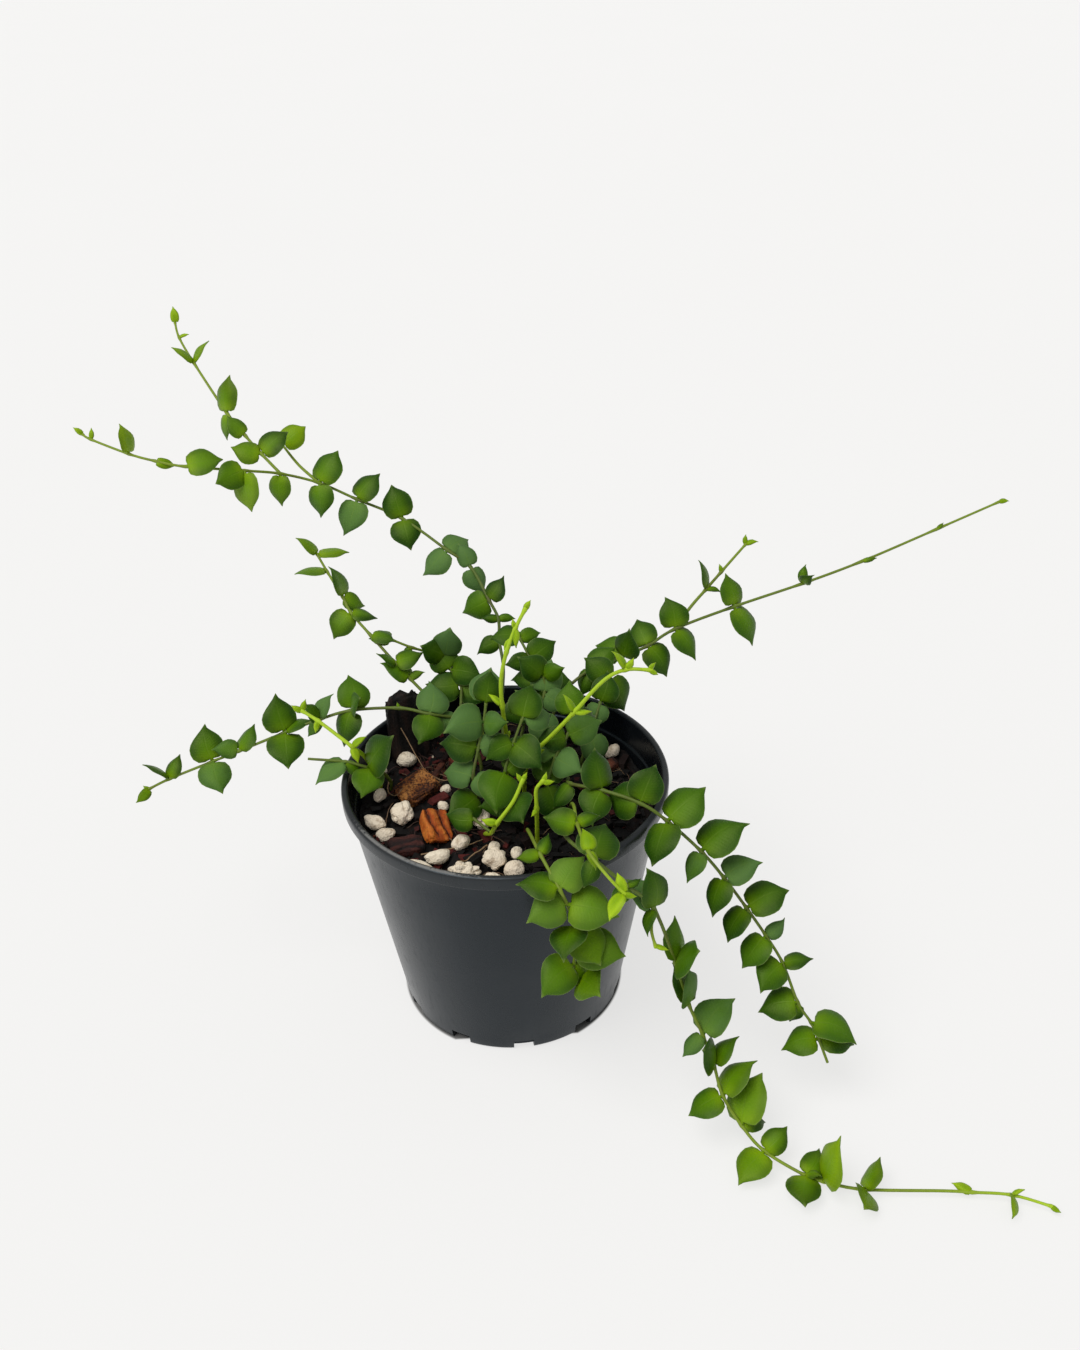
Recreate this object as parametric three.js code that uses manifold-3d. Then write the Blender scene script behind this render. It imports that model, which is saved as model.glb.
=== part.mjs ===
// A potted million hearts dischidia. A black nursery pot holds a dark bark mix with perlite, and small
// fleshy heart-shaped leaves sit in opposite pairs along thin vines that rise from it and trail over its rim.
// Millimetres, +Z up. The origin is the centre of the pot's flat underside, and -Y is the front.

import * as THREE from "three";
import { mergeVertices } from "three/addons/utils/BufferGeometryUtils.js";
import Module from "manifold-3d";

const wasm = await Module();
wasm.setup();

// Driving dimensions of the pot
const POT_HEIGHT = 86;
const RIM_RADIUS = 52.5;
const BASE_RADIUS = 37.5;
const WALL = 1.4;
const FLOOR = 2;
const LIP_HEIGHT = 4.5;
const LIP_OVERHANG = 1.9;
const LEDGE_DROP = 9;
const POT_SIDES = 40;
const SLOTS = 11;
const SLOT_WIDTH = 6.6;
const SLOT_HEIGHT = 3.4;
const FIRST_SLOT = 3.5; // degrees from the front, towards +X

// Driving dimensions of what fills it
const SOIL_TOP = 74;
const SOIL_BUMP = 1.1;
const SOIL_SIDES = 24;
const GAP = 0.3; // clear space between pieces that rest on each other
const GRAIN_HEIGHT = 0.85; // height of a perlite grain as a share of its smaller width, where none is given
const GRAIN_RISE = 0.32; // height of a grain's middle over the mix, as a share of its height
const GRAIN_SEAT = 0.24; // depth of the dimple that it sits in, as a share of its height
const DIMPLE_REACH = 4;
const DIMPLE_SIDES = 5;
const HOLE_ROOM = 0.5; // how much wider than its stem a hole in the mix is, at the radius
const RIDGE = 0.12; // height of the ridges on bark, as a share of its thickness

// Driving dimensions of the plant
const STEM_RADIUS = 0.8;
const SHOOT_RADIUS = 1;
const STEM_SIDES = 4;
const ROOT_DEPTH = 8;
const BLADE_THICKNESS = 0.8;
const TIP_BUD = 1; // how far a stem runs on past its last leaves
const SURFACE_GAP = 0.4; // how far the trailing leaves stay above the surface that the pot stands on
const WINDOW = new THREE.Vector3(0, -338, 332); // the leaves turn their faces to the light from here

const COLOURS = {
  plastic: 0x1c1e21,
  mix: 0x1d1512,
  perlite: 0xd9cfc0,
  orangeBark: 0x9c4a1c,
  darkBark: 0x2b1a16,
  husk: 0x7a4520,
  matureLeaf: 0x2c5a22,
  youngLeaf: 0x4a8a24,
  limeShoot: 0x9ccf2a,
};

const Z = new THREE.Vector3(0, 0, 1);
const radians = THREE.MathUtils.degToRad;

// Closed solid of a geometry, with its shared corners joined and its empty triangles dropped
function solid(geometry) {
  geometry.deleteAttribute("normal");
  geometry.deleteAttribute("uv");
  const merged = mergeVertices(geometry, 1e-4);
  const corners = merged.index.array;
  const kept = [];
  for (let i = 0; i < corners.length; i += 3) {
    const [a, b, c] = corners.slice(i, i + 3);
    if (a !== b && b !== c && c !== a) kept.push(a, b, c);
  }
  const vertProperties = merged.attributes.position.array;
  return new wasm.Manifold(new wasm.Mesh({ numProp: 3, vertProperties, triVerts: new Uint32Array(kept) }));
}

// A named mesh of a solid, in its own material
function piece(name, shape, colour, roughness) {
  const { vertProperties, triVerts } = shape.getMesh();
  const geometry = new THREE.BufferGeometry();
  geometry.setAttribute("position", new THREE.BufferAttribute(vertProperties, 3));
  geometry.setIndex(new THREE.BufferAttribute(triVerts, 1));
  geometry.computeVertexNormals();
  const material = new THREE.MeshStandardMaterial({ color: colour, roughness, metalness: 0 });
  const mesh = new THREE.Mesh(geometry, material);
  mesh.name = name;
  return mesh;
}

// Moves every corner of a geometry by a function of its place
function reshape(geometry, place) {
  const position = geometry.attributes.position;
  const v = new THREE.Vector3();
  for (let i = 0; i < position.count; i += 1) {
    v.fromBufferAttribute(position, i);
    place(v);
    position.setXYZ(i, v.x, v.y, v.z);
  }
  return geometry;
}

// A body turned about +Z from its half profile of [radius, height] points
function turned(profile, sides) {
  const points = profile.map(([r, z]) => new THREE.Vector2(r, z));
  return new THREE.LatheGeometry(points, sides).rotateX(Math.PI / 2);
}

// An even value from 0 to 1 for a pair of numbers
function chance(a, b) {
  const s = Math.sin(a * 12.9898 + b * 78.233) * 43758.5453;
  return s - Math.floor(s);
}

// Outer radius of the tapered wall at a height
function wallRadius(z) {
  const underLip = RIM_RADIUS - LIP_OVERHANG;
  return BASE_RADIUS + ((underLip - BASE_RADIUS) * z) / (POT_HEIGHT - LIP_HEIGHT);
}

// The pot: a tapered wall with a rounded lip, a small ledge inside, a flat floor and slots at its foot
function potShape() {
  const underLip = POT_HEIGHT - LIP_HEIGHT;
  const ledge = POT_HEIGHT - LEDGE_DROP;
  const profile = [
    [0, 0],
    [BASE_RADIUS - 1.2, 0],
    [wallRadius(1.2), 1.2],
    [wallRadius(underLip), underLip],
    [RIM_RADIUS - 0.5, underLip],
    [RIM_RADIUS, underLip + 0.7],
    [RIM_RADIUS, POT_HEIGHT - 1],
    [RIM_RADIUS - 1, POT_HEIGHT],
    [wallRadius(POT_HEIGHT) - WALL + 0.9, POT_HEIGHT],
    [wallRadius(POT_HEIGHT) - WALL, POT_HEIGHT - 1],
    [wallRadius(ledge) - WALL + 0.5, ledge],
    [wallRadius(ledge) - WALL, ledge - 0.5],
    [wallRadius(FLOOR) - WALL, FLOOR],
    [0, FLOOR],
  ];
  let pot = solid(turned(profile, POT_SIDES));
  for (let i = 0; i < SLOTS; i += 1) {
    const slot = new THREE.BoxGeometry(SLOT_WIDTH, 8, SLOT_HEIGHT + 1);
    slot.translate(0, -BASE_RADIUS, (SLOT_HEIGHT - 1) / 2);
    slot.rotateZ(radians(FIRST_SLOT + (360 * i) / SLOTS));
    pot = pot.subtract(solid(slot));
  }
  return pot;
}

// The potting mix fills the pot to just under its rim, and its top is lumpy
function mixShape() {
  const reach = (z) => wallRadius(z) - WALL - GAP;
  const profile = [
    [0, FLOOR + GAP],
    [reach(FLOOR + GAP), FLOOR + GAP],
    [reach(SOIL_TOP - 2), SOIL_TOP - 2],
    ...[0.97, 0.72, 0.45, 0.2, 0].map((share) => [share * reach(SOIL_TOP), SOIL_TOP]),
  ];
  const lumps = (x, y) => {
    const broad = Math.sin(x * 0.31 + 1) * Math.cos(y * 0.27);
    return broad + 0.6 * Math.sin(x * 0.13 - y * 0.36) + 0.4 * Math.cos(x * 0.6 + y * 0.5);
  };
  return solid(
    reshape(turned(profile, SOIL_SIDES), (v) => {
      if (v.z > SOIL_TOP - 0.5) v.z += (SOIL_BUMP / 2) * lumps(v.x, v.y);
    }),
  );
}

// Height of a grain
function grainHeight({ length, width, height }) {
  return height ?? Math.min(length, width) * GRAIN_HEIGHT;
}

// A lumpy grain of perlite: a dodecahedron, each corner in or out a little, drawn out to length and width
function grain({ x, y, turn = 0, ...size }, seed) {
  const geometry = new THREE.DodecahedronGeometry(1, 0);
  const height = grainHeight(size);
  reshape(geometry, (v) => {
    const key = Math.round(v.x * 50) + 7 * Math.round(v.y * 50) + 31 * Math.round(v.z * 50);
    v.multiplyScalar(0.9 + 0.26 * chance(key, seed));
    v.multiply(new THREE.Vector3(size.length / 2, size.width / 2, height / 2));
  });
  geometry.rotateZ(radians(turn));
  geometry.translate(x, y, SOIL_TOP + GRAIN_RISE * height);
  return solid(geometry);
}

// The plain dimple that a grain is bedded in
function dimple({ x, y, turn = 0, ...size }) {
  const geometry = new THREE.CylinderGeometry(1.3, 0.9, DIMPLE_REACH, DIMPLE_SIDES);
  geometry.rotateX(Math.PI / 2);
  geometry.scale(size.length / 2 + GAP, size.width / 2 + GAP, 1);
  geometry.rotateZ(radians(turn));
  geometry.translate(x, y, SOIL_TOP - GRAIN_SEAT * grainHeight(size) - GAP + DIMPLE_REACH / 2);
  return solid(geometry);
}

// A flake of bark or husk: a slab with ridges along it, rounded at its ends and bedded at a slant
function chip({ size, ridges, ...bed }) {
  const [length, width, thickness] = size;
  const geometry = new THREE.BoxGeometry(length, width, thickness, 3, ridges * 2, 1);
  reshape(geometry, (v) => {
    const along = (2 * v.x) / length;
    const across = (2 * v.y) / width;
    v.y *= 1 - 0.22 * along * along;
    v.x *= 1 - 0.14 * across * across + 0.05 * Math.sin(across * 5 + bed.x);
    v.z += RIDGE * thickness * Math.cos(across * Math.PI * ridges) * Math.sign(v.z);
  });
  return solid(laid(geometry, bed));
}

// The plain pocket that a flake is bedded in
function pocket({ size, ...bed }) {
  const [length, width, thickness] = size;
  const height = thickness * (1 + 2 * RIDGE) + 2 * GAP;
  return solid(laid(new THREE.BoxGeometry(1.05 * length + 2 * GAP, width + 2 * GAP, height), bed));
}

// Slants and turns a flake and puts it where it lies
function laid(geometry, { x, y, z = SOIL_TOP + 0.8, turn = 0, slant = 0, pitch = 0 }) {
  geometry.rotateX(radians(slant));
  geometry.rotateY(radians(pitch));
  geometry.rotateZ(radians(turn));
  return geometry.translate(x, y, z);
}

// A plain round hole down into the mix
function hole(x, y, radius, depth) {
  const geometry = new THREE.CylinderGeometry(radius, radius, depth + 10, DIMPLE_SIDES);
  geometry.rotateX(Math.PI / 2);
  geometry.translate(x, y, SOIL_TOP - depth + (depth + 10) / 2);
  return solid(geometry);
}

const PERLITE = [
  { x: -33.3, y: 23.6, length: 6.6, width: 6.2 },
  { x: -41.5, y: 18.4, length: 4.4, width: 3.8, turn: 20 },
  { x: -33.4, y: -5.8, length: 10.4, width: 7.4, turn: 95 },
  { x: -42, y: -10.2, length: 7.8, width: 5, turn: -35 },
  { x: -38.2, y: -15.8, length: 6.2, width: 4.8, turn: 32 },
  { x: -41.2, y: 4.6, length: 6, width: 4.4, turn: 80 },
  { x: -21.8, y: -28.6, length: 8.6, width: 5.4, turn: 18 },
  { x: -27, y: -35, length: 9.6, width: 4.8, height: 7, turn: -36 },
  { x: -13.3, y: -35.9, length: 10.2, width: 6.6, turn: -4 },
  { x: -20.6, y: -2.4, length: 4.2, width: 3.6, turn: -30 },
  { x: -4.4, y: -24.2, length: 4.8, width: 3.8, turn: 90 },
  { x: -4.4, y: -31.4, length: 8.4, width: 7.4, turn: 85 },
  { x: 1.6, y: -36.2, length: 6.6, width: 6.4, turn: 40 },
  { x: 2.2, y: -27.6, length: 5.2, width: 3.6, turn: 80 },
  { x: -5.4, y: -39, length: 5.6, width: 4.2 },
  { x: -8.4, y: -10.6, length: 8.8, width: 6.2, turn: 88 },
  { x: -14.6, y: -21.8, length: 6.8, width: 5, turn: 60 },
  { x: -19.8, y: 6.6, length: 4, width: 3.4, turn: 30 },
  { x: 36.6, y: 23.6, length: 6.8, width: 5, turn: 50 },
];

const ORANGE_LIE = { turn: 105, slant: 18, pitch: -14 };
const HUSK_LIE = { turn: 38, slant: 8, pitch: -8 };
const CHIPS = {
  orange_bark_chip: { x: -22.5, y: -14, z: SOIL_TOP + 1.8, size: [12, 9, 3.6], ridges: 3, ...ORANGE_LIE },
  maroon_bark_chip: { x: -31.6, y: -21.8, size: [11, 7.2, 3.4], ridges: 2, turn: 12, slant: 6 },
  husk_chip: { x: -29.4, y: 6, z: SOIL_TOP + 1.8, size: [11.5, 10.5, 5], ridges: 2, ...HUSK_LIE },
  red_bark_stick: { x: -17.6, y: 21.8, size: [8.5, 2.6, 2.4], ridges: 1, turn: 105, pitch: 8 },
  broken_bark_stick: { x: -22.4, y: 17, size: [7, 2.4, 2.2], ridges: 1, turn: 65, pitch: -6 },
  right_bark_chip: { x: 35, y: 15.5, size: [6.5, 4.4, 3], ridges: 2, turn: 40, slant: 12 },
  back_bark_chip: { x: 30, y: -2, size: [8, 5, 3], ridges: 2, turn: -35, slant: -8 },
  standing_bark_chip: { x: -32.6, y: 29.8, z: 82.6, size: [27, 14, 3], ridges: 2, turn: 120, pitch: 98 },
};

const CHIP_COLOURS = {
  orange_bark_chip: COLOURS.orangeBark,
  husk_chip: COLOURS.husk,
};

// A place on a stem, with the leaves that grow there
const at = (x, y, z, ...leaves) => ({ point: new THREE.Vector3(x, y, z), leaves });

// A leaf as the light sees it. Clock is its way from stem to tip in degrees, 0 to the right and 90 up. Turn
// rolls the blade about its midrib and tilt nods it, both so that its face looks more to the sky.
const leaf = (clock, length, turn = 0, tilt = 0) => ({ clock, length, turn, tilt });

// Every vine: its stems, the first rising from the soil and the others from it, place by place
const VINES = {
  upper_left_vine: [
    [
      at(0, 26, 78),
      at(0, 34, 90),
      at(1, 44, 98),
      at(0, 52, 104, leaf(20, 9, 30), leaf(200, 9, 10)),
      at(0, 57, 110, leaf(5, 6), leaf(175, 6)),
      at(-3, 62, 115, leaf(205, 11.5, 5), leaf(50, 10, 30)),
      at(-9, 74, 122, leaf(290, 11, 25), leaf(110, 9.5, 0, 5)),
      at(-17, 78, 127, leaf(30, 11.5, 25), leaf(225, 12.5, 35)),
      at(-33, 93, 133, leaf(105, 13, 0, 5), leaf(280, 12.5, 0, 25)),
      at(-49, 96, 140, leaf(45, 12.5, 40), leaf(250, 14, 30)),
      at(-62, 98, 146, leaf(55, 13.5, 35), leaf(270, 12.5, 35)),
      at(-75, 96, 151, leaf(260, 11.5, 40)),
      at(-86, 88, 156, leaf(195, 11.5, 0, 25), leaf(270, 14.5, 45)),
      at(-105, 84, 160, leaf(5, 13, 40)),
      at(-115, 85, 162, leaf(335, 7, 25)),
      at(-125, 90, 163, leaf(90, 10.5, 55)),
      at(-140, 100, 165, leaf(70, 4, 35)),
      at(-144, 105, 165, leaf(130, 4)),
    ],
    [
      at(-75, 96, 151),
      at(-83, 108, 154, leaf(35, 12.5, 40), leaf(165, 11, 35)),
      at(-90, 119, 157, leaf(130, 9.5, 20)),
      at(-98, 132, 161, leaf(85, 14, 50), leaf(260, 10, 60)),
      at(-114, 162, 171, leaf(135, 10, 70), leaf(50, 10.5, 75)),
      at(-122, 179, 176, leaf(20, 4, 55)),
      at(-125, 189, 179, leaf(85, 6.5, 20)),
    ],
    [at(-62, 98, 146), at(-70, 108, 149), at(-77, 119, 153, leaf(30, 11, 20))],
  ],
  short_left_vine: [
    [
      at(-12, 26, 78),
      at(-18, 30, 87),
      at(-26, 37, 93),
      at(-31, 41, 97, leaf(140, 11.5, 45), leaf(30, 5.5)),
      at(-36, 44, 102, leaf(10, 10.5, 40), leaf(150, 8, 55)),
      at(-44, 51, 109, leaf(350, 9, 45)),
      at(-51, 59, 114, leaf(225, 11, 20), leaf(340, 9.5, 55)),
      at(-54, 65, 117, leaf(100, 11.5, 60), leaf(325, 9.5, 30)),
      at(-60, 77, 121, leaf(175, 11.5, 75)),
      at(-64, 85, 124, leaf(130, 9.5, 60), leaf(0, 11.5, 70)),
    ],
  ],
  far_left_sprig: [
    [
      at(-7, 32, 78),
      at(-10, 40, 88),
      at(-15, 49, 94),
      at(-20, 53, 98, leaf(80, 10.5, 35), leaf(330, 9, 15)),
      at(-30, 50, 104, leaf(195, 4)),
      at(-37, 51, 107, leaf(165, 8.5, 25)),
    ],
  ],
  left_vine: [
    [
      at(-8, 16, 78),
      at(-10, 18, 86),
      at(-15, 22, 92, leaf(190, 9.5)),
      at(-24, 20, 96, leaf(75, 12.5, 0, 25), leaf(255, 12, 0, 35)),
      at(-34, 23, 97, leaf(110, 2)),
      at(-50, 26, 95, leaf(80, 12.5, 0, 15), leaf(60, 10, 65), leaf(250, 12.5, 40)),
      at(-61, 26, 92, leaf(65, 9.5, 45), leaf(130, 9, 35), leaf(230, 7)),
      at(-73, 25, 88, leaf(100, 13.5, 10), leaf(265, 14, 0, 35), leaf(20, 10, 65)),
      at(-89, 24, 82, leaf(50, 10.5, 50), leaf(160, 9)),
      at(-98, 23, 79, leaf(100, 13, 0, 5), leaf(270, 13, 0, 35)),
      at(-113, 21, 74, leaf(55, 9, 40), leaf(135, 10, 80)),
      at(-120, 20, 71, leaf(220, 6.5, 0, 20), leaf(150, 2.5)),
    ],
  ],
  rim_shoot: [
    [
      at(-38, 11, 76),
      at(-40, 8, 82),
      at(-44, 4, 87, leaf(60, 16, 45), leaf(260, 12, 0, 20)),
      at(-51, 5, 89, leaf(205, 12, 50), leaf(305, 7.5, 35)),
      at(-62, 6, 90),
    ],
  ],
  lime_left_shoot: [
    [
      at(-41.5, 10.5, 76),
      at(-43.5, 10, 83),
      at(-45.5, 7, 90),
      at(-48, 3, 96, leaf(35, 5.5, 35), leaf(285, 5.5, 15)),
      at(-53, 6, 99),
      at(-59, 10, 102, leaf(250, 4)),
      at(-64, 13, 104, leaf(150, 4), leaf(70, 4)),
    ],
  ],
  upper_right_vine: [
    [
      at(15, 28, 78),
      at(17, 29, 87),
      at(21, 33, 94, leaf(300, 9.5, 15)),
      at(31, 39, 99, leaf(45, 11, 15), leaf(250, 10, 20)),
      at(42, 43, 101, leaf(150, 11.5, 0, 25), leaf(95, 11.5, 20)),
      at(51, 46, 103, leaf(310, 12.5, 35), leaf(115, 11.5, 0, 25)),
      at(61, 50, 107, leaf(100, 11.5, 5), leaf(310, 13, 50)),
      at(82, 55, 112, leaf(105, 12, 45), leaf(305, 15, 55)),
      at(107, 59, 118, leaf(100, 6.5), leaf(60, 7.5)),
      at(129, 66, 122, leaf(20, 5, 45)),
      at(159, 79, 127, leaf(50, 3)),
      at(185, 91, 131, leaf(20, 3.5)),
    ],
    [
      at(61, 50, 107),
      at(67, 56, 112),
      at(73, 61, 116, leaf(100, 10.5, 75), leaf(0, 5.5, 50)),
      at(79, 66, 120, leaf(100, 3)),
      at(89, 75, 126, leaf(100, 3.5), leaf(35, 4.5, 35)),
    ],
  ],
  right_trailing_vine: [
    [
      at(20, 4, 76),
      at(20, -4, 85),
      at(20, -15, 91, leaf(260, 9.5, 40)),
      at(29, -23, 94, leaf(105, 13, 35), leaf(245, 11.5, 0, 20)),
      at(40, -29, 93, leaf(170, 13, 0, 35), leaf(70, 12.5, 0, 15)),
      at(48, -32, 88, leaf(45, 15.5, 30), leaf(255, 14.5, 35)),
      at(58, -36, 79, leaf(45, 16.5, 35), leaf(250, 10.5, 45)),
      at(65, -38, 70, leaf(35, 12.5, 30), leaf(255, 12.5, 40)),
      at(72, -41, 60, leaf(35, 14, 30), leaf(240, 12, 40)),
      at(78, -44, 51, leaf(40, 8), leaf(240, 12.5, 30)),
      at(83, -48, 43, leaf(15, 9.5, 45), leaf(230, 12, 0, 25)),
      at(87, -55, 33, leaf(195, 12.5, 20), leaf(250, 9)),
      at(91, -58, 27, leaf(355, 14.5, 45)),
      at(93, -61, 23, leaf(200, 12, 30), leaf(10, 11.5, 25)),
      at(95, -65, 18),
    ],
  ],
  long_trailing_vine: [
    [
      at(13, -14, 76),
      at(13, -24, 85),
      at(15, -36, 91),
      at(18, -47, 94),
      at(24, -54, 93, leaf(75, 14, 0, 35), leaf(255, 8.5, 5)),
      at(33, -59, 87, leaf(235, 8, 0, 25), leaf(20, 4.5)),
      at(41, -58, 77, leaf(130, 11.5, 40), leaf(80, 12.5, 45), leaf(250, 8, 45)),
      at(48, -58, 55, leaf(90, 14, 60), leaf(60, 14, 50)),
      at(52, -61, 41, leaf(110, 13, 55), leaf(80, 12.5, 65)),
      at(56, -65, 32, leaf(60, 14.5, 35), leaf(230, 9, 30)),
      at(59, -70, 24, leaf(60, 11.5, 55), leaf(100, 13, 65)),
      at(61, -76, 17.5, leaf(60, 14.5, 50), leaf(215, 12, 35)),
      at(66, -82, 11, leaf(80, 16.5, 35), leaf(30, 9.5, 10)),
      at(72, -88, 6.5, leaf(235, 13, 25), leaf(50, 10)),
      at(83, -95, 3.5, leaf(60, 10, 0, 25), leaf(270, 12, 0, 10), leaf(10, 6, 45)),
      at(88, -97, 3, leaf(75, 15.5, 50)),
      at(99, -100, 2.5, leaf(70, 10.5, 55), leaf(270, 11, 60)),
      at(122, -102, 2.5),
      at(130, -103, 2.5, leaf(170, 6, 25)),
      at(141, -105, 3, leaf(45, 4, 55), leaf(290, 8, 70)),
      at(151, -109, 2.5, leaf(345, 3)),
    ],
    [at(41, -58, 77), at(40, -61, 72), at(41, -63, 67.5, leaf(340, 4, 45))],
  ],
  front_hanging_vine: [
    [
      at(7, -20, 76),
      at(6, -29, 85),
      at(7, -39, 90),
      at(9, -48, 91, leaf(190, 7), leaf(60, 7, 0, 20)),
      at(14, -58, 86, leaf(165, 12.5, 40), leaf(70, 12.5, 0, 35)),
      at(16, -57.5, 80, leaf(195, 13, 0, 40), leaf(348, 15.5, 15)),
      at(18, -56.5, 71, leaf(305, 14, 15), leaf(250, 13.5, 30)),
      at(19, -55, 63, leaf(340, 15, 0, 15), leaf(170, 7, 65)),
      at(18, -55, 54, leaf(215, 14, 0, 20), leaf(320, 12, 30)),
      at(20, -56, 49, leaf(285, 13.5, 0, 40)),
    ],
  ],
  front_rim_sprig: [
    [
      at(20, -10, 76),
      at(20, -20, 87),
      at(20, -32, 95),
      at(20, -45, 99, leaf(25, 7), leaf(170, 10)),
      at(22, -60, 101, leaf(95, 7.5, 0, 25), leaf(300, 5.5)),
      at(27, -68, 98),
      at(31, -70, 94, leaf(110, 6), leaf(235, 8.5, 45), leaf(340, 3.5)),
    ],
  ],
  lime_tall_shoot: [
    [
      at(0, 6, 78),
      at(1, 5, 87),
      at(1, 3, 97, leaf(60, 2.5)),
      at(0, -1, 112, leaf(140, 5.5, 45)),
      at(0, -2, 122),
      at(2, -1, 131, leaf(75, 5, 35)),
      at(5, 1, 138, leaf(270, 6, 55), leaf(110, 3)),
      at(8, 3, 143, leaf(60, 3.5)),
    ],
  ],
  lime_leaning_shoot: [
    [
      at(6, 1, 78),
      at(6.5, -2, 87),
      at(9, -4, 95, leaf(20, 4)),
      at(15, -5, 102.5),
      at(22, -6, 111.5, leaf(120, 6.5, 55), leaf(0, 5.5, 50)),
      at(31, -4, 121),
      at(38, -2, 123.5, leaf(50, 4.5), leaf(60, 7, 60)),
      at(45.5, -2, 123, leaf(330, 3), leaf(60, 3)),
    ],
  ],
  lime_front_shoot: [
    [
      at(-7, -19, 76),
      at(-5, -26, 82),
      at(-3, -29, 88, leaf(170, 5)),
      at(2, -28, 95),
      at(5, -26, 101, leaf(130, 3), leaf(60, 3)),
    ],
    [at(-5, -26, 82), at(-10, -21, 83.5, leaf(175, 9.5, 0, 15))],
  ],
  lime_curled_shoot: [
    [
      at(9, -24, 76),
      at(9, -26, 84),
      at(9, -28, 92, leaf(240, 3)),
      at(9, -28, 99),
      at(11, -28, 102, leaf(350, 3.5), leaf(60, 3)),
    ],
  ],
  crown_left_sprig: [
    [
      at(-9, -3, 78),
      at(-9, -8, 83, leaf(215, 12, 0, 25)),
      at(-10, -9, 91, leaf(160, 12, 0, 35), leaf(320, 10, 0, 5)),
      at(-8, -5, 99, leaf(165, 13, 0, 35), leaf(15, 10)),
      at(-6, -1, 106, leaf(170, 14, 0, 30), leaf(350, 10, 0, 5)),
      at(-5, 2, 111, leaf(85, 12.5, 0, 20), leaf(20, 11)),
    ],
  ],
  crown_front_sprig: [
    [
      at(1, -8, 78),
      at(1, -12, 84, leaf(305, 13.5, 0, 35), leaf(200, 10, 0, 25)),
      at(0, -10, 93, leaf(245, 15, 0, 15), leaf(40, 10, 0, 10)),
      at(3, -6, 101, leaf(320, 13, 0, 25), leaf(200, 10, 0, 5)),
      at(6, -2, 107, leaf(75, 12, 0, 10), leaf(15, 12.5, 20)),
    ],
  ],
  crown_middle_sprig: [
    [
      at(7, 10, 78),
      at(8, 12, 88, leaf(200, 10, 20)),
      at(11, 16, 96, leaf(300, 11.5, 0, 15), leaf(120, 11)),
      at(14, 20, 102, leaf(80, 12, 0, 10), leaf(330, 10)),
      at(14, 23, 107, leaf(140, 11), leaf(35, 9)),
    ],
  ],
  crown_back_sprig: [
    [
      at(5, 24, 78),
      at(7, 26, 86),
      at(9, 29, 93, leaf(40, 12, 0, 25), leaf(215, 11, 0, 5)),
      at(12, 31, 100, leaf(0, 12, 30), leaf(165, 10, 0, 25)),
      at(10, 36, 106, leaf(35, 11, 0, 10), leaf(195, 9)),
      at(7, 41, 111, leaf(20, 8), leaf(170, 10.5, 35)),
    ],
  ],
  crown_right_sprig: [
    [
      at(13, 0, 78),
      at(13, -8, 86, leaf(80, 12, 0, 25), leaf(285, 12.5, 30)),
      at(16, -5, 94, leaf(150, 12, 0, 25), leaf(330, 12)),
      at(20, -2, 100, leaf(25, 12), leaf(190, 10)),
      at(22, 2, 105, leaf(100, 11), leaf(345, 10)),
    ],
  ],
  crown_far_right_sprig: [
    [
      at(26, 16, 78),
      at(29, 19, 86, leaf(285, 11), leaf(160, 10)),
      at(33, 27, 93, leaf(250, 10), leaf(70, 11)),
      at(36, 33, 98, leaf(305, 13, 20), leaf(130, 11)),
    ],
  ],
  crown_far_left_sprig: [
    [
      at(-15, 18, 78),
      at(-15, 24, 86),
      at(-14, 33, 91),
      at(-14, 41, 94, leaf(185, 12, 15), leaf(330, 12, 0, 10)),
      at(-17, 44, 98, leaf(120, 12, 0, 10), leaf(350, 12, 0, 25)),
      at(-19, 47, 102, leaf(75, 12), leaf(150, 11)),
    ],
  ],
};

const isLime = (name) => name.startsWith("lime");
const stemRadius = (name) => (isLime(name) ? SHOOT_RADIUS : STEM_RADIUS);

function vineColour(name) {
  if (isLime(name)) return COLOURS.limeShoot;
  return name.startsWith("crown") || name === "upper_left_vine" ? COLOURS.matureLeaf : COLOURS.youngLeaf;
}

// A curve whose steps fall on its places, so that every leaf stands on a joint of its stem
class StemCurve extends THREE.CatmullRomCurve3 {
  getSpacedPoints(steps) {
    return this.getPoints(steps);
  }

  getTangentAt(share, target) {
    return this.getTangent(share, target);
  }
}

// A stem is a thin tube from place to place
function stemTube(points, radius) {
  const extrudePath = new StemCurve(points, false, "catmullrom", 0.5);
  const section = new THREE.Shape();
  for (let i = 0; i < STEM_SIDES; i += 1) {
    const angle = (2 * Math.PI * i) / STEM_SIDES;
    if (i === 0) section.moveTo(radius, 0);
    else section.lineTo(radius * Math.cos(angle), radius * Math.sin(angle));
  }
  return new THREE.ExtrudeGeometry(section, { steps: points.length - 1, bevelEnabled: false, extrudePath });
}

// The points of a stem, with its bud and, on a vine's first stem, its foot let down into the soil
function stemPoints(places, first) {
  const points = places.map((place) => place.point);
  const [before, last] = points.slice(-2);
  points.push(last.clone().addScaledVector(last.clone().sub(before).normalize(), TIP_BUD));
  if (!first) return points;
  const foot = [SOIL_TOP - ROOT_DEPTH, SOIL_TOP].map((z) => points[0].clone().setZ(z));
  return [...foot, ...points];
}

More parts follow.
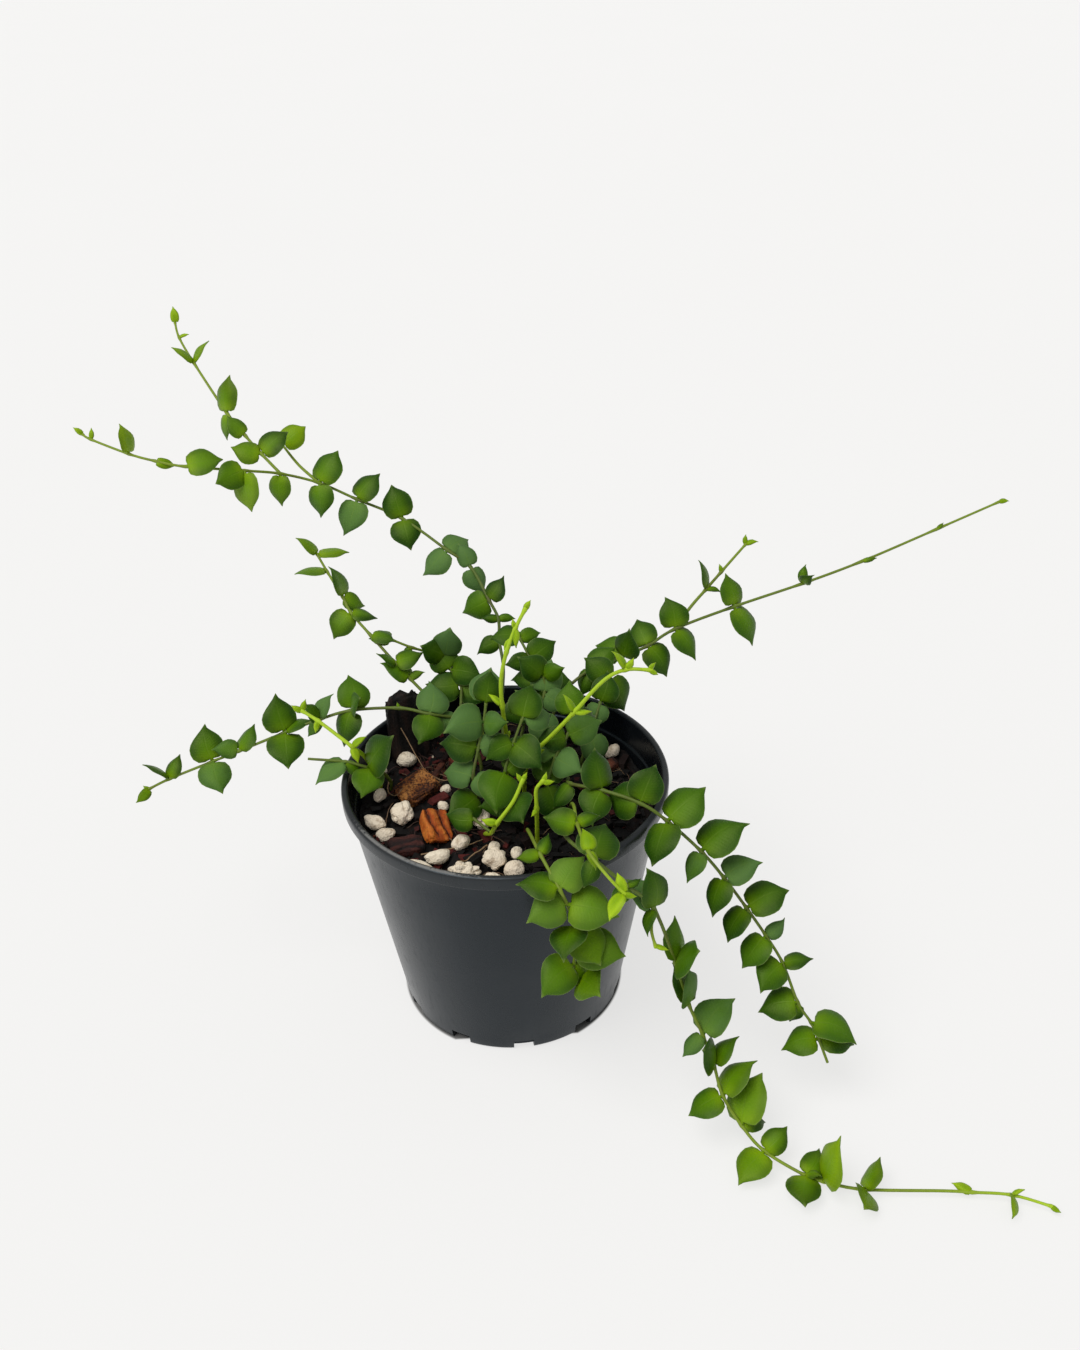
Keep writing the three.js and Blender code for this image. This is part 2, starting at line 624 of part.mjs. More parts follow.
// One side of a leaf's outline from tip to root: share of the length, share of the half width
const GROWN_SIDE = [
  [0.76, 0.47],
  [0.47, 1],
  [0.2, 0.76],
];
const SMALL_SIDE = [
  [0.6, 0.8],
  [0.24, 0.76],
];
const BUD_SIDE = [[0.4, 1]];
const SMALL_LENGTH = 11; // leaves shorter than this have a plainer outline
const BUD_LENGTH = 5.5; // and those shorter than this the plainest
const WIDTH_SHARE = 0.86; // width of a grown blade over its length; small ones are narrower
const DOME = 0.06; // height of the blade's middle over its edge, as a share of its length
const TIP_DROP = 0.08;
const NECK = 0.2; // share of the length where the stalk ends and the open blade starts

function bladeWidth(length) {
  return length * THREE.MathUtils.clamp(0.5 + (length - 6) * 0.068, 0.5, WIDTH_SHARE);
}

// Outline of a leaf from its tip round to its tip, through the root that is sunk in the stem
function outline(length) {
  let side = GROWN_SIDE;
  if (length < SMALL_LENGTH) side = SMALL_SIDE;
  if (length < BUD_LENGTH) side = BUD_SIDE;
  return [[1, 0], ...side, [0, 0], ...side.map(([along, across]) => [along, -across]).reverse()];
}

// A blade is a thin disc whose rim is drawn out to the outline: X across it, Y its face and Z its way.
// It may be grown all round, and may start some way from its root.
function bladeGeometry(length, grow, from) {
  const rim = outline(length);
  const disc = new THREE.CylinderGeometry(1, 1, 1, rim.length);
  const half = bladeWidth(length) / 2;
  return reshape(disc, (v) => {
    const face = v.y * (BLADE_THICKNESS + 2 * grow);
    if (Math.hypot(v.x, v.z) < 0.5) {
      v.set(0, face + DOME * length, 0.45 * length);
      return;
    }
    const corner = Math.round((Math.atan2(v.x, v.z) / (2 * Math.PI)) * rim.length);
    const [along, across] = rim[(corner + rim.length) % rim.length];
    const drop = along === 1 ? TIP_DROP * length : 0;
    const reach = Math.max(along, from) * length + (along > 0.3 ? grow : 0);
    v.set(across * half + Math.sign(across) * grow, face - drop, reach);
  });
}

// Ways in which a leaf that meets a neighbour is bent clear of it: change of clock and of nod, in degrees
const BENDS = [];
for (const clock of [0, 12, -12, 25, -25, 40, -40, 60, -60]) {
  for (const nod of [0, -20, 20, -40, 40, 60]) {
    BENDS.push({ clock, nod, bent: Math.abs(clock) + 0.6 * Math.abs(nod) });
  }
}
BENDS.sort((a, b) => a.bent - b.bent);

// Frame of a leaf at a place: its way from stem to tip, its face, and across
function leafFrame(place, { clock, turn, tilt }, bend) {
  const light = WINDOW.clone().sub(place).normalize();
  const right = Z.clone().cross(light).normalize();
  const up = light.clone().cross(right);
  const angle = radians(clock + bend.clock);
  const sky = Math.sin(angle) > 0 ? -1 : 1;
  const nod = radians(sky * tilt + bend.nod);
  const flat = right.multiplyScalar(Math.cos(angle)).addScaledVector(up, Math.sin(angle));
  const way = flat.clone().multiplyScalar(Math.cos(nod)).addScaledVector(light, Math.sin(nod));
  const face = light.multiplyScalar(Math.cos(nod)).addScaledVector(flat, -Math.sin(nod));
  const rolled = [turn, -turn].map((roll) => face.clone().applyAxisAngle(way, radians(roll)));
  const skyward = rolled[1].z > rolled[0].z + 1e-6 ? rolled[1] : rolled[0];
  return new THREE.Matrix4().makeBasis(skyward.clone().cross(way), skyward, way).setPosition(place);
}

// A solid with the box that holds it, for quick tests of what can meet
function boxed(owner, shape, geometry) {
  geometry.computeBoundingBox();
  return { owner, shape, box: geometry.boundingBox };
}

function meets(test, obstacles) {
  const near = obstacles.filter((one) => one.box.intersectsBox(test.box));
  return near.some((one) => !one.shape.intersect(test.shape).isEmpty());
}

// Places one leaf, bent clear of the other pieces and, if it can be, of its own vine's leaves
function growLeaf(owner, place, spec, others, own) {
  let fallback = null;
  for (const bend of BENDS) {
    const frame = leafFrame(place, spec, bend);
    const blade = (grow, from) => {
      const geometry = bladeGeometry(spec.length, grow, from).applyMatrix4(frame);
      return boxed(owner, solid(geometry), geometry);
    };
    const guard = blade(GAP, 0);
    if (guard.box.min.z > SURFACE_GAP && !meets(guard, others)) {
      const open = blade(GAP, NECK);
      const grown = { ...blade(0, 0), open: open.shape };
      if (!meets(open, own)) return grown;
      fallback ??= grown;
    }
  }
  return fallback;
}

// The stems of every vine, branches too
function growStems() {
  const stems = [];
  for (const [name, vine] of Object.entries(VINES)) {
    vine.forEach((places, i) => {
      const geometry = stemTube(stemPoints(places, i === 0), stemRadius(name));
      stems.push(boxed(name, solid(geometry), geometry));
    });
  }
  return stems;
}

// The leaves of every vine, each clear of all that stands there before it
function growLeaves(stems, fixed) {
  const leaves = [];
  for (const [name, vine] of Object.entries(VINES)) {
    for (const place of vine.flat()) {
      for (const spec of place.leaves) {
        const others = [...stems, ...leaves].filter((one) => one.owner !== name).concat(fixed);
        const mine = leaves.filter((one) => one.owner === name).map((one) => ({ ...one, shape: one.open }));
        const grown = growLeaf(name, place.point, spec, others, mine);
        if (grown) leaves.push(grown);
      }
    }
  }
  return leaves;
}

// The mix with a seat for every grain and flake, and a hole for every vine
function beddedMix() {
  let mix = mixShape();
  for (const one of PERLITE) mix = mix.subtract(dimple(one));
  for (const one of Object.values(CHIPS)) mix = mix.subtract(pocket(one));
  for (const [name, vine] of Object.entries(VINES)) {
    const { x, y } = vine[0][0].point;
    mix = mix.subtract(hole(x, y, stemRadius(name) + HOLE_ROOM, ROOT_DEPTH + GAP));
  }
  return mix;
}

function build() {
  const group = new THREE.Group();
  const pot = potShape();
  const mix = beddedMix();
  const grains = PERLITE.map((one, i) => grain(one, i + 1));
  const chips = Object.values(CHIPS).map((one) => chip(one));
  const low = new THREE.Vector3(-RIM_RADIUS, -RIM_RADIUS, 0);
  const high = new THREE.Vector3(RIM_RADIUS, RIM_RADIUS, POT_HEIGHT + 5);
  const box = new THREE.Box3(low, high);
  const fixed = [pot, mix, ...grains, ...chips].map((shape) => ({ owner: "pot", shape, box }));
  const stems = growStems();
  const leaves = growLeaves(stems, fixed);

  group.add(piece("pot", pot, COLOURS.plastic, 0.45));
  group.add(piece("potting_mix", mix, COLOURS.mix, 0.95));
  grains.forEach((shape, i) => {
    group.add(piece(`perlite_${String(i + 1).padStart(2, "0")}`, shape, COLOURS.perlite, 0.9));
  });
  Object.keys(CHIPS).forEach((name, i) => {
    group.add(piece(name, chips[i], CHIP_COLOURS[name] ?? COLOURS.darkBark, 0.85));
  });
  for (const name of Object.keys(VINES)) {
    const parts = [...stems, ...leaves].filter((one) => one.owner === name);
    const whole = parts.map((one) => one.shape).reduce((sum, one) => sum.add(one));
    group.add(piece(name, whole, vineColour(name), 0.5));
  }
  return group;
}

export default build();
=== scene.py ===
"""Potted million hearts dischidia, dressed: a black nursery pot of bark mix with perlite, and fleshy
heart-shaped leaves in pairs along thin vines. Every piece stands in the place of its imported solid."""

import math

import bpy
import numpy as np
from bpy.props import FloatProperty, FloatVectorProperty, IntProperty, PointerProperty
from mathutils import Matrix, Vector


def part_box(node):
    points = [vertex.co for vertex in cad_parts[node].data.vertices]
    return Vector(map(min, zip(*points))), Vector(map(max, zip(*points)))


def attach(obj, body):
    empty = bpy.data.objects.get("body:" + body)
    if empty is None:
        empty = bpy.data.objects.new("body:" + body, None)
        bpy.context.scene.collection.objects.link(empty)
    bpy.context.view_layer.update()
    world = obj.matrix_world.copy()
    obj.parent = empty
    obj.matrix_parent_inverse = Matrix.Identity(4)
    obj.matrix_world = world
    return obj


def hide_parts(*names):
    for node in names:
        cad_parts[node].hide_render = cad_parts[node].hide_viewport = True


bl_info = {
    "name": "Potted Heart-Leaf Vine",
    "version": (1, 0, 0),
    "blender": (4, 5, 0),
    "location": "View3D > Sidebar > Heart Vine",
    "description": "Builds a potted trailing vine with fleshy heart-shaped leaves around its packed solids",
    "category": "Add Mesh",
}

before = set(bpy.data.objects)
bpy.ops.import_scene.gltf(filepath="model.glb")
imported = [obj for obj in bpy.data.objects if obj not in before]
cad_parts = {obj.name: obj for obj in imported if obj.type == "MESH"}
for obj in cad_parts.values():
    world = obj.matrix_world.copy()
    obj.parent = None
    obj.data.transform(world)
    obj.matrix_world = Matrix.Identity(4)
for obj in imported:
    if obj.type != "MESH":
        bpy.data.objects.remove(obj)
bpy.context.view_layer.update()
MM = 0.001
POT_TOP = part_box("pot")[1]
Z = np.array([0.0, 0.0, 1.0])


# Settings

LENGTH = {"unit": "LENGTH", "subtype": "DISTANCE"}
COLOUR = {"size": 3, "min": 0, "max": 1, "subtype": "COLOR"}


class PotSettings(bpy.types.PropertyGroup):
    height: FloatProperty(name="Height", description="Height of the pot", default=POT_TOP.z, **LENGTH)
    rim_radius: FloatProperty(
        name="Rim radius", description="Outer radius of the lip", default=POT_TOP.x, **LENGTH)
    base_radius: FloatProperty(
        name="Base radius", description="Outer radius at the foot", default=0.0375, **LENGTH)
    wall: FloatProperty(name="Wall", description="Thickness of the wall", default=0.0014, **LENGTH)
    plastic: FloatVectorProperty(
        name="Plastic", description="Colour of the plastic", default=(0.0030, 0.0040, 0.0054), **COLOUR)
    # This colour also paints the highlight on the front-left edge of the lip.
    scuff_dust_and_highlight: FloatVectorProperty(
        name="Scuffs", description="Colour of the worn and dusty places", default=(0.20, 0.195, 0.185),
        **COLOUR)


class MixSettings(bpy.types.PropertyGroup):
    level: FloatProperty(name="Level", description="Height of the potting mix", default=0.074, **LENGTH)
    crumbs: IntProperty(name="Crumbs", description="Number of loose crumbs", default=1700, min=0)
    fibres: IntProperty(name="Fibres", description="Number of fine fibres", default=90, min=0)
    earth: FloatVectorProperty(
        name="Earth", description="Colour of the damp mix", default=(0.0026, 0.0020, 0.0018), **COLOUR)
    perlite: FloatVectorProperty(
        name="Perlite", description="Colour of the perlite grains", default=(0.86, 0.76, 0.60), **COLOUR)


class PlantSettings(bpy.types.PropertyGroup):
    stem_radius: FloatProperty(
        name="Stem radius", description="Radius of a grown stem", default=0.00060, **LENGTH)
    shoot_radius: FloatProperty(
        name="Shoot radius", description="Radius of a young shoot", default=0.00078, **LENGTH)
    leaf_thickness: FloatProperty(
        name="Leaf thickness", description="Thickness of a blade at its middle", default=0.0011, **LENGTH)
    old_green: FloatVectorProperty(
        name="Old leaf", description="Colour of the oldest leaves", default=(0.009, 0.046, 0.0015), **COLOUR)
    grown_green: FloatVectorProperty(
        name="Grown leaf", description="Colour of grown leaves", default=(0.046, 0.124, 0.002), **COLOUR)
    young_green: FloatVectorProperty(
        name="Young leaf", description="Colour of young leaves", default=(0.205, 0.340, 0.002), **COLOUR)
    lime: FloatVectorProperty(
        name="Shoots", description="Colour of the newest shoots", default=(0.38, 0.56, 0.014), **COLOUR)


class StageSettings(bpy.types.PropertyGroup):
    key: FloatProperty(name="Key light", description="Strength of the broad light from above", default=2.15)
    sky: FloatProperty(
        name="Surroundings", description="Strength of the even pale surroundings", default=0.43)


# Plain maths

def unit(v):
    """v over its length, along the last axis."""
    return v / np.linalg.norm(v, axis=-1, keepdims=True)


def smooth_step(t):
    """3t² - 2t³ with t held between 0 and 1."""
    t = np.clip(t, 0.0, 1.0)
    return t * t * (3 - 2 * t)


# Large odd numbers that spread the three numbers of a cell and its seed over all bits, and those that stir
# them, each with how many bits it shifts
SPREAD = (73856093, 19349663, 83492791, 2654435761)
STIR = ((13, 1274126177), (15, 2246822519))


def lattice(cells, seed):
    """An even value from 0 to 1 for each whole-number cell: its numbers multiplied, then their bits mixed."""
    n = cells.astype(np.int64)
    h = (n[..., 0] * SPREAD[0]) ^ (n[..., 1] * SPREAD[1]) ^ (n[..., 2] * SPREAD[2]) ^ (seed * SPREAD[3])
    for shift, factor in STIR:
        h = ((h ^ (h >> shift)) * factor) & 0xFFFFFFFF
    return ((h ^ (h >> 16)) & 0xFFFFFF) / 0xFFFFFF


def noise(points, size, seed, octaves=1):
    """Smooth noise from -1 to 1: the eight corners of each cube of that size, blended by 3t² - 2t³.
    Each further octave has half the size and half the height."""
    total = np.zeros(points.shape[:-1])
    for octave in range(octaves):
        place = points / (size / 2 ** octave)
        cell = np.floor(place)
        t = smooth_step(place - cell)
        value = np.zeros(points.shape[:-1])
        for corner in np.ndindex(2, 2, 2):
            weight = np.prod(np.where(np.array(corner), t, 1 - t), axis=-1)
            value += weight * lattice(cell + np.array(corner), seed + 17 * octave)
        total += (2 * value - 1) / 2 ** octave
    return total / (2 - 2.0 ** (1 - octaves))


def turned_about(v, axis, angle):
    """v turned about a unit axis: v cos + (axis x v) sin + axis (axis . v)(1 - cos)."""
    along = np.sum(v * axis, axis=-1, keepdims=True)
    return v * np.cos(angle) + np.cross(axis, v) * np.sin(angle) + axis * along * (1 - np.cos(angle))


# Meshes. A part is points in millimetres, faces, a UV place for each point, marks for each point and the
# number of its finish. Several parts make one piece.

def ring_faces(rings, around):
    """Quads of a tube of rings with the same number of points around, and a face over each end."""
    first = np.arange(around)
    after = (first + 1) % around
    row = np.stack([first, after, after + around, first + around], axis=1)
    quads = (row[None] + around * np.arange(rings - 1)[:, None, None]).reshape(-1, 4)
    return [*quads.tolist(), first[::-1].tolist(), (first + around * (rings - 1)).tolist()]


def part(points, faces, uv=None, finish=0, **marks):
    """One part of a piece. A mark is one number, or one for each point."""
    points = np.asarray(points, float).reshape(-1, 3)
    uv = np.zeros((len(points), 2)) if uv is None else np.asarray(uv, float).reshape(-1, 2)
    marks = {name: np.broadcast_to(np.ravel(value), len(points)) for name, value in marks.items()}
    return {"points": points, "faces": faces, "uv": uv, "finish": finish, "marks": marks}


def make_piece(name, parts, finishes, nodes=(), crease=50):
    """Joins parts into one object in metres at the origin, which rides on the root body."""
    points = np.concatenate([one["points"] for one in parts]) * MM
    starts = np.cumsum([0] + [len(one["points"]) for one in parts])
    faces = [
        [corner + start for corner in face] for one, start in zip(parts, starts) for face in one["faces"]]
    mesh = bpy.data.meshes.new(name)
    mesh.from_pydata(points.tolist(), [], faces)
    uv = np.concatenate([one["uv"] for one in parts])
    corners = np.zeros(len(mesh.loops), np.int32)
    mesh.loops.foreach_get("vertex_index", corners)
    mesh.uv_layers.new(name="surface").data.foreach_set("uv", uv[corners].astype(np.float32).ravel())
    for mark in sorted({mark for one in parts for mark in one["marks"]}):
        values = [one["marks"].get(mark, np.zeros(len(one["points"]))) for one in parts]
        layer = mesh.attributes.new(mark, "FLOAT", "POINT")
        layer.data.foreach_set("value", np.concatenate(values).astype(np.float32))
    finish_of = np.concatenate([np.full(len(one["faces"]), one["finish"]) for one in parts])
    for finish in finishes:
        mesh.materials.append(finish)
    mesh.polygons.foreach_set("material_index", finish_of.astype(np.int32))
    mesh.polygons.foreach_set("use_smooth", np.ones(len(faces), bool))
    mesh.set_sharp_from_angle(angle=math.radians(crease))
    piece = bpy.data.objects.new(name, mesh)
    bpy.context.scene.collection.objects.link(piece)
    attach(piece, "root")
    if nodes:
        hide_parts(*nodes)


def tube(path, radius, around, uv_reach=1.0, **marks):
    """A tube along a path. Each ring is centre + r (n cos a + b sin a), where b is square to the path and
    nearest to the normal of the plane that the path lies in, and n is square to both."""
    path = np.asarray(path, float)
    radius = np.broadcast_to(radius, len(path))
    way = unit(np.gradient(path, axis=0))
    middle = path - path.mean(axis=0)
    plane_normal = np.linalg.svd(middle)[2][2]
    b = unit(plane_normal - way * (way @ plane_normal)[:, None])
    n = np.cross(b, way)
    angle = 2 * np.pi * np.arange(around) / around
    ring = n[:, None] * np.cos(angle)[:, None] + b[:, None] * np.sin(angle)[:, None]
    points = path[:, None] + radius[:, None, None] * ring
    along = np.linspace(0, uv_reach, len(path))
    uv = np.stack(np.broadcast_arrays(angle / (2 * np.pi), along[:, None]), axis=-1)
    spread = {name: np.repeat(np.broadcast_to(value, len(path)), around) for name, value in marks.items()}
    return part(points, ring_faces(len(path), around), uv, **spread)


def smooth_path(points, steps):
    """Points on the curve through the given ones, which is carried on straight at its ends. Between B and C
    it is ½(2B + (C-A)t + (2A-5B+4C-D)t² + (3B-A-3C+D)t³)."""
    p = np.asarray(points, float)
    p = np.concatenate([[2 * p[0] - p[1]], p, [2 * p[-1] - p[-2]]])
    a, b, c, d = (p[i:len(p) - 3 + i, None] for i in range(4))
    t = (np.arange(steps) / steps)[None, :, None]
    square = 2 * a - 5 * b + 4 * c - d
    cube = 3 * b - a - 3 * c + d
    curve = (2 * b + (c - a) * t + square * t ** 2 + cube * t ** 3) / 2
    return np.concatenate([curve.reshape(-1, 3), p[-2:-1]])


def path_reach(path):
    """Length along a path up to each of its points."""
    return np.concatenate([[0], np.cumsum(np.linalg.norm(np.diff(path, axis=0), axis=1))])


# Finishes

class Wire:
    """A shader socket that can stand in an expression. + - * / and ** on it add Math nodes."""

    def __init__(self, finish, socket):
        self.finish = finish
        self.socket = socket

    def math(self, operation, *values):
        return self.finish.node("ShaderNodeMath", {"operation": operation}, dict(enumerate(values)))

    def __add__(self, other):
        return self.math("ADD", self, other)

    __radd__ = __add__

    def __sub__(self, other):
        return self.math("SUBTRACT", self, other)

    def __rsub__(self, other):
        return self.math("SUBTRACT", other, self)

    def __mul__(self, other):
        return self.math("MULTIPLY", self, other)

    __rmul__ = __mul__

    def __pow__(self, other):
        return self.math("POWER", self, other)

    def __abs__(self):
        return self.math("ABSOLUTE", self)

    def ramp(self, low, high):
        """0 where the value is low, 1 where it is high, and a smooth step between."""
        inputs = {"Value": self, "From Min": low, "From Max": high}
        return self.finish.node("ShaderNodeMapRange", {"interpolation_type": "SMOOTHSTEP"}, inputs)


class Finish:
    """A material under construction."""

    def __init__(self, name):
        self.material = bpy.data.materials.new(name)
        self.material.use_nodes = True
        self.tree = self.material.node_tree
        self.shader = self.tree.nodes["Principled BSDF"]
        self.place = self.node("ShaderNodeTexCoord", output="Object")

    def node(self, kind, settings=None, inputs=None, output=0):
        """Adds a node: its settings first, then the value or link of each named or numbered socket."""
        node = self.tree.nodes.new(kind)
        for name, value in (settings or {}).items():
            setattr(node, name, value)
        for name, value in (inputs or {}).items():
            self.feed(node.inputs[name], value)
        return Wire(self, node.outputs[output])

    def feed(self, socket, value):
        if isinstance(value, Wire):
            self.tree.links.new(value.socket, socket)
        elif isinstance(value, (int, float)):
            socket.default_value = value
        else:
            value = tuple(value)
            socket.default_value = value + (1.0,) * (len(socket.default_value) - len(value))

    def mark(self, name):
        return self.node("ShaderNodeAttribute", {"attribute_name": name}, output="Fac")

    def surface(self):
        """The two numbers of the piece's own UV place."""
        uv = self.node("ShaderNodeUVMap", {"uv_map": "surface"})
        return self.parts(uv)[:2]

    def parts(self, vector):
        split = self.node("ShaderNodeSeparateXYZ", None, {0: vector})
        return [Wire(self, output) for output in split.socket.node.outputs]

    def stretched(self, scale, turn=(0, 0, 0)):
        """The place in the object with each axis scaled, so that a pattern is drawn out along some."""
        return self.node("ShaderNodeMapping", None, {"Vector": self.place, "Rotation": turn, "Scale": scale})

    def speckle(self, size, detail, rough, where=None):
        """Noise from 0 to 1 with features of about that size, in metres unless a place is given."""
        inputs = {"Vector": where or self.place, "Scale": 1 / size, "Detail": detail, "Roughness": rough}
        return self.node("ShaderNodeTexNoise", None, inputs)

    def cells(self, size):
        """Distance in cells to the nearest cell's centre, for cells of about that size in metres."""
        return self.node("ShaderNodeTexVoronoi", None, {"Vector": self.place, "Scale": 1 / size})

    def blend(self, share, first, second):
        """The first colour where the share is 0, the second where it is 1."""
        mix = self.tree.nodes.new("ShaderNodeMix")
        mix.data_type = "RGBA"
        self.feed(mix.inputs["Factor"], share)
        self.feed([i for i in mix.inputs if i.type == "RGBA"][0], first)
        self.feed([i for i in mix.inputs if i.type == "RGBA"][1], second)
        return Wire(self, [o for o in mix.outputs if o.type == "RGBA"][0])

    def finished(self, colour, roughness, height, depth, **constants):
        """Wires the surface up. Height is a pattern from 0 to 1, and depth is what 1 stands for in metres."""
        bump = {"Height": height, "Distance": depth, "Strength": 1.0}
        self.feed(self.shader.inputs["Base Color"], colour)
        self.feed(self.shader.inputs["Roughness"], roughness)
        self.feed(self.shader.inputs["Normal"], self.node("ShaderNodeBump", None, bump))
        for name, value in constants.items():
            self.feed(self.shader.inputs[name.replace("_", " ")], value)
        return self.material


# The pot

LIP_HEIGHT = 4.5
LIP_OVERHANG = 1.9
LEDGE_DROP = 9.0
POT_FLOOR = 2.0
TAPER = 15.0  # from the radius of the lip to that of the foot
SLOTS = 11
SLOT_WIDTH = 6.6
SLOT_HEIGHT = 3.8
FIRST_SLOT = 3.5  # degrees from the front, towards +X
FLOOR_RIM = 35.4  # radius at which a slot ends in the floor
SLOT_COLUMNS = 4
WALL_COLUMNS = 18  # from one slot to the next


def wall_radius(pot, z):
    """Outer radius of the tapered wall at a height, in millimetres."""
    under_lip = pot.height / MM - LIP_HEIGHT
    foot = pot.base_radius / MM
    return foot + (pot.rim_radius / MM - LIP_OVERHANG - foot) * z / under_lip


def rounded(corners, steps=6, longest=7.0):
    """A profile through corners (r, z, cut). A cut corner C becomes (1-t)²A + 2t(1-t)C + t²B, where A and B
    lie that far from it along its sides. Straight stretches are then split into even lengths."""
    corners = np.asarray(corners, float)
    points = []
    for i, (r, z, cut) in enumerate(corners):
        here = np.array([r, z])
        if cut == 0 or i in (0, len(corners) - 1):
            points.append(here)
            continue
        a = here + cut * unit(corners[i - 1, :2] - here)
        b = here + cut * unit(corners[i + 1, :2] - here)
        t = np.linspace(0, 1, steps)[:, None]
        points.extend((1 - t) ** 2 * a + 2 * t * (1 - t) * here + t ** 2 * b)
    split = []
    for a, b in zip(points[:-1], points[1:]):
        pieces = max(1, round(np.linalg.norm(b - a) / longest))
        split.extend(a + (b - a) * k / pieces for k in range(pieces))
    return np.array(split + [points[-1]])


def pot_columns():
    """Angles round the pot, with a column on both edges of every slot, and which columns start in a slot."""
    half = np.arcsin(SLOT_WIDTH / 2 / (POT_TOP.x / MM - TAPER))
    pitch = 2 * np.pi / SLOTS
    slot = np.linspace(-half, half, SLOT_COLUMNS + 1)[:-1]
    rest = np.linspace(half, pitch - half, WALL_COLUMNS + 1)[:-1]
    one = np.concatenate([slot, rest])
    angles = (np.radians(FIRST_SLOT) - np.pi / 2 + pitch * np.arange(SLOTS)[:, None] + one).ravel()
    return angles, np.tile(np.arange(len(one)) < len(slot), SLOTS)


def pot_profile(pot):
    """The pot's section by corners (r, z, cut): out under the foot, up the wall, over the lip and down
    inside to the floor. With it, the numbers of its points at a slot's roof, outside and inside."""
    top = pot.height / MM
    rim = pot.rim_radius / MM
    under_lip = top - LIP_HEIGHT
    ledge = top - LEDGE_DROP
    outer = lambda z: wall_radius(pot, z)
    inner = lambda z: wall_radius(pot, z) - pot.wall / MM
    foot = rounded([(FLOOR_RIM, 0, 0), (outer(0) + 0.1, 0, 1.1), (outer(SLOT_HEIGHT), SLOT_HEIGHT, 0)])
    body = rounded([
        (outer(SLOT_HEIGHT), SLOT_HEIGHT, 0),
        (outer(under_lip), under_lip - 0.1, 0.3),
        (rim - 0.15, under_lip, 0.35),
        (rim, top, 1.5),
        (inner(top) + 0.35, top, 0.9),
        (inner(ledge) + 0.5, ledge, 0.4),
        (inner(ledge) - 0.1, ledge - 0.5, 0.3),
        (inner(SLOT_HEIGHT), SLOT_HEIGHT, 0),
    ])
    end = rounded([
        (inner(SLOT_HEIGHT), SLOT_HEIGHT, 0),
        (inner(POT_FLOOR), POT_FLOOR, 0.3),
        (FLOOR_RIM, POT_FLOOR, 0),
    ])
    return np.concatenate([foot[:-1], body, end[1:]]), len(foot) - 1, len(foot) + len(body) - 2


def slot_walls(in_slot, roof_out, roof_in, last):
    """The roof, the back and the two sides of every slot, by the numbers of their points row after row."""
    count = len(in_slot)
    faces = []
    for j in np.flatnonzero(in_slot).tolist():
        k = (j + 1) % count
        faces.append([roof_out * count + k, roof_out * count + j, roof_in * count + j, roof_in * count + k])
        faces.append([j, k, last * count + k, last * count + j])
    edge = [*range(roof_out, -1, -1), *range(last, roof_in - 1, -1)]
    for j in range(count):
        if in_slot[j] and not in_slot[j - 1]:
            faces.append([i * count + j for i in edge])
        if in_slot[j - 1] and not in_slot[j]:
            faces.append([i * count + j for i in reversed(edge)])
    return faces


def pot_part(pot):
    """The pot's section turned about +Z, x = r cos a and y = r sin a, with its slots cut from the rows of the
    grid and walled."""
    profile, roof_out, roof_in = pot_profile(pot)
    last = len(profile) - 1
    angles, in_slot = pot_columns()
    count = len(angles)
    around = np.stack([np.cos(angles), np.sin(angles)], axis=1)
    points = np.concatenate([
        profile[:, None, :1] * around[None],
        np.broadcast_to(profile[:, None, 1:], (len(profile), count, 1)),
    ], axis=2)

    row = np.arange(last)[:, None]
    column = np.arange(count)[None]
    after = (column + 1) % count
    start = row * count
    beyond = start + count
    corners = (start + column, start + after, beyond + after, beyond + column)
    quads = np.stack(np.broadcast_arrays(*corners), axis=2)
    open_rows = (row < roof_out) | (row >= roof_in)
    faces = quads[~(open_rows & in_slot[None])].tolist()
    faces.append((last * count + np.arange(count)).tolist())
    faces.append(np.arange(count)[::-1].tolist())
    faces.extend(slot_walls(in_slot, roof_out, roof_in, last))
    reach = np.linspace(0, 1, len(profile))
    uv = np.stack(np.broadcast_arrays(angles[None] / (2 * np.pi), reach[:, None]), axis=2)
    return part(points, faces, uv)


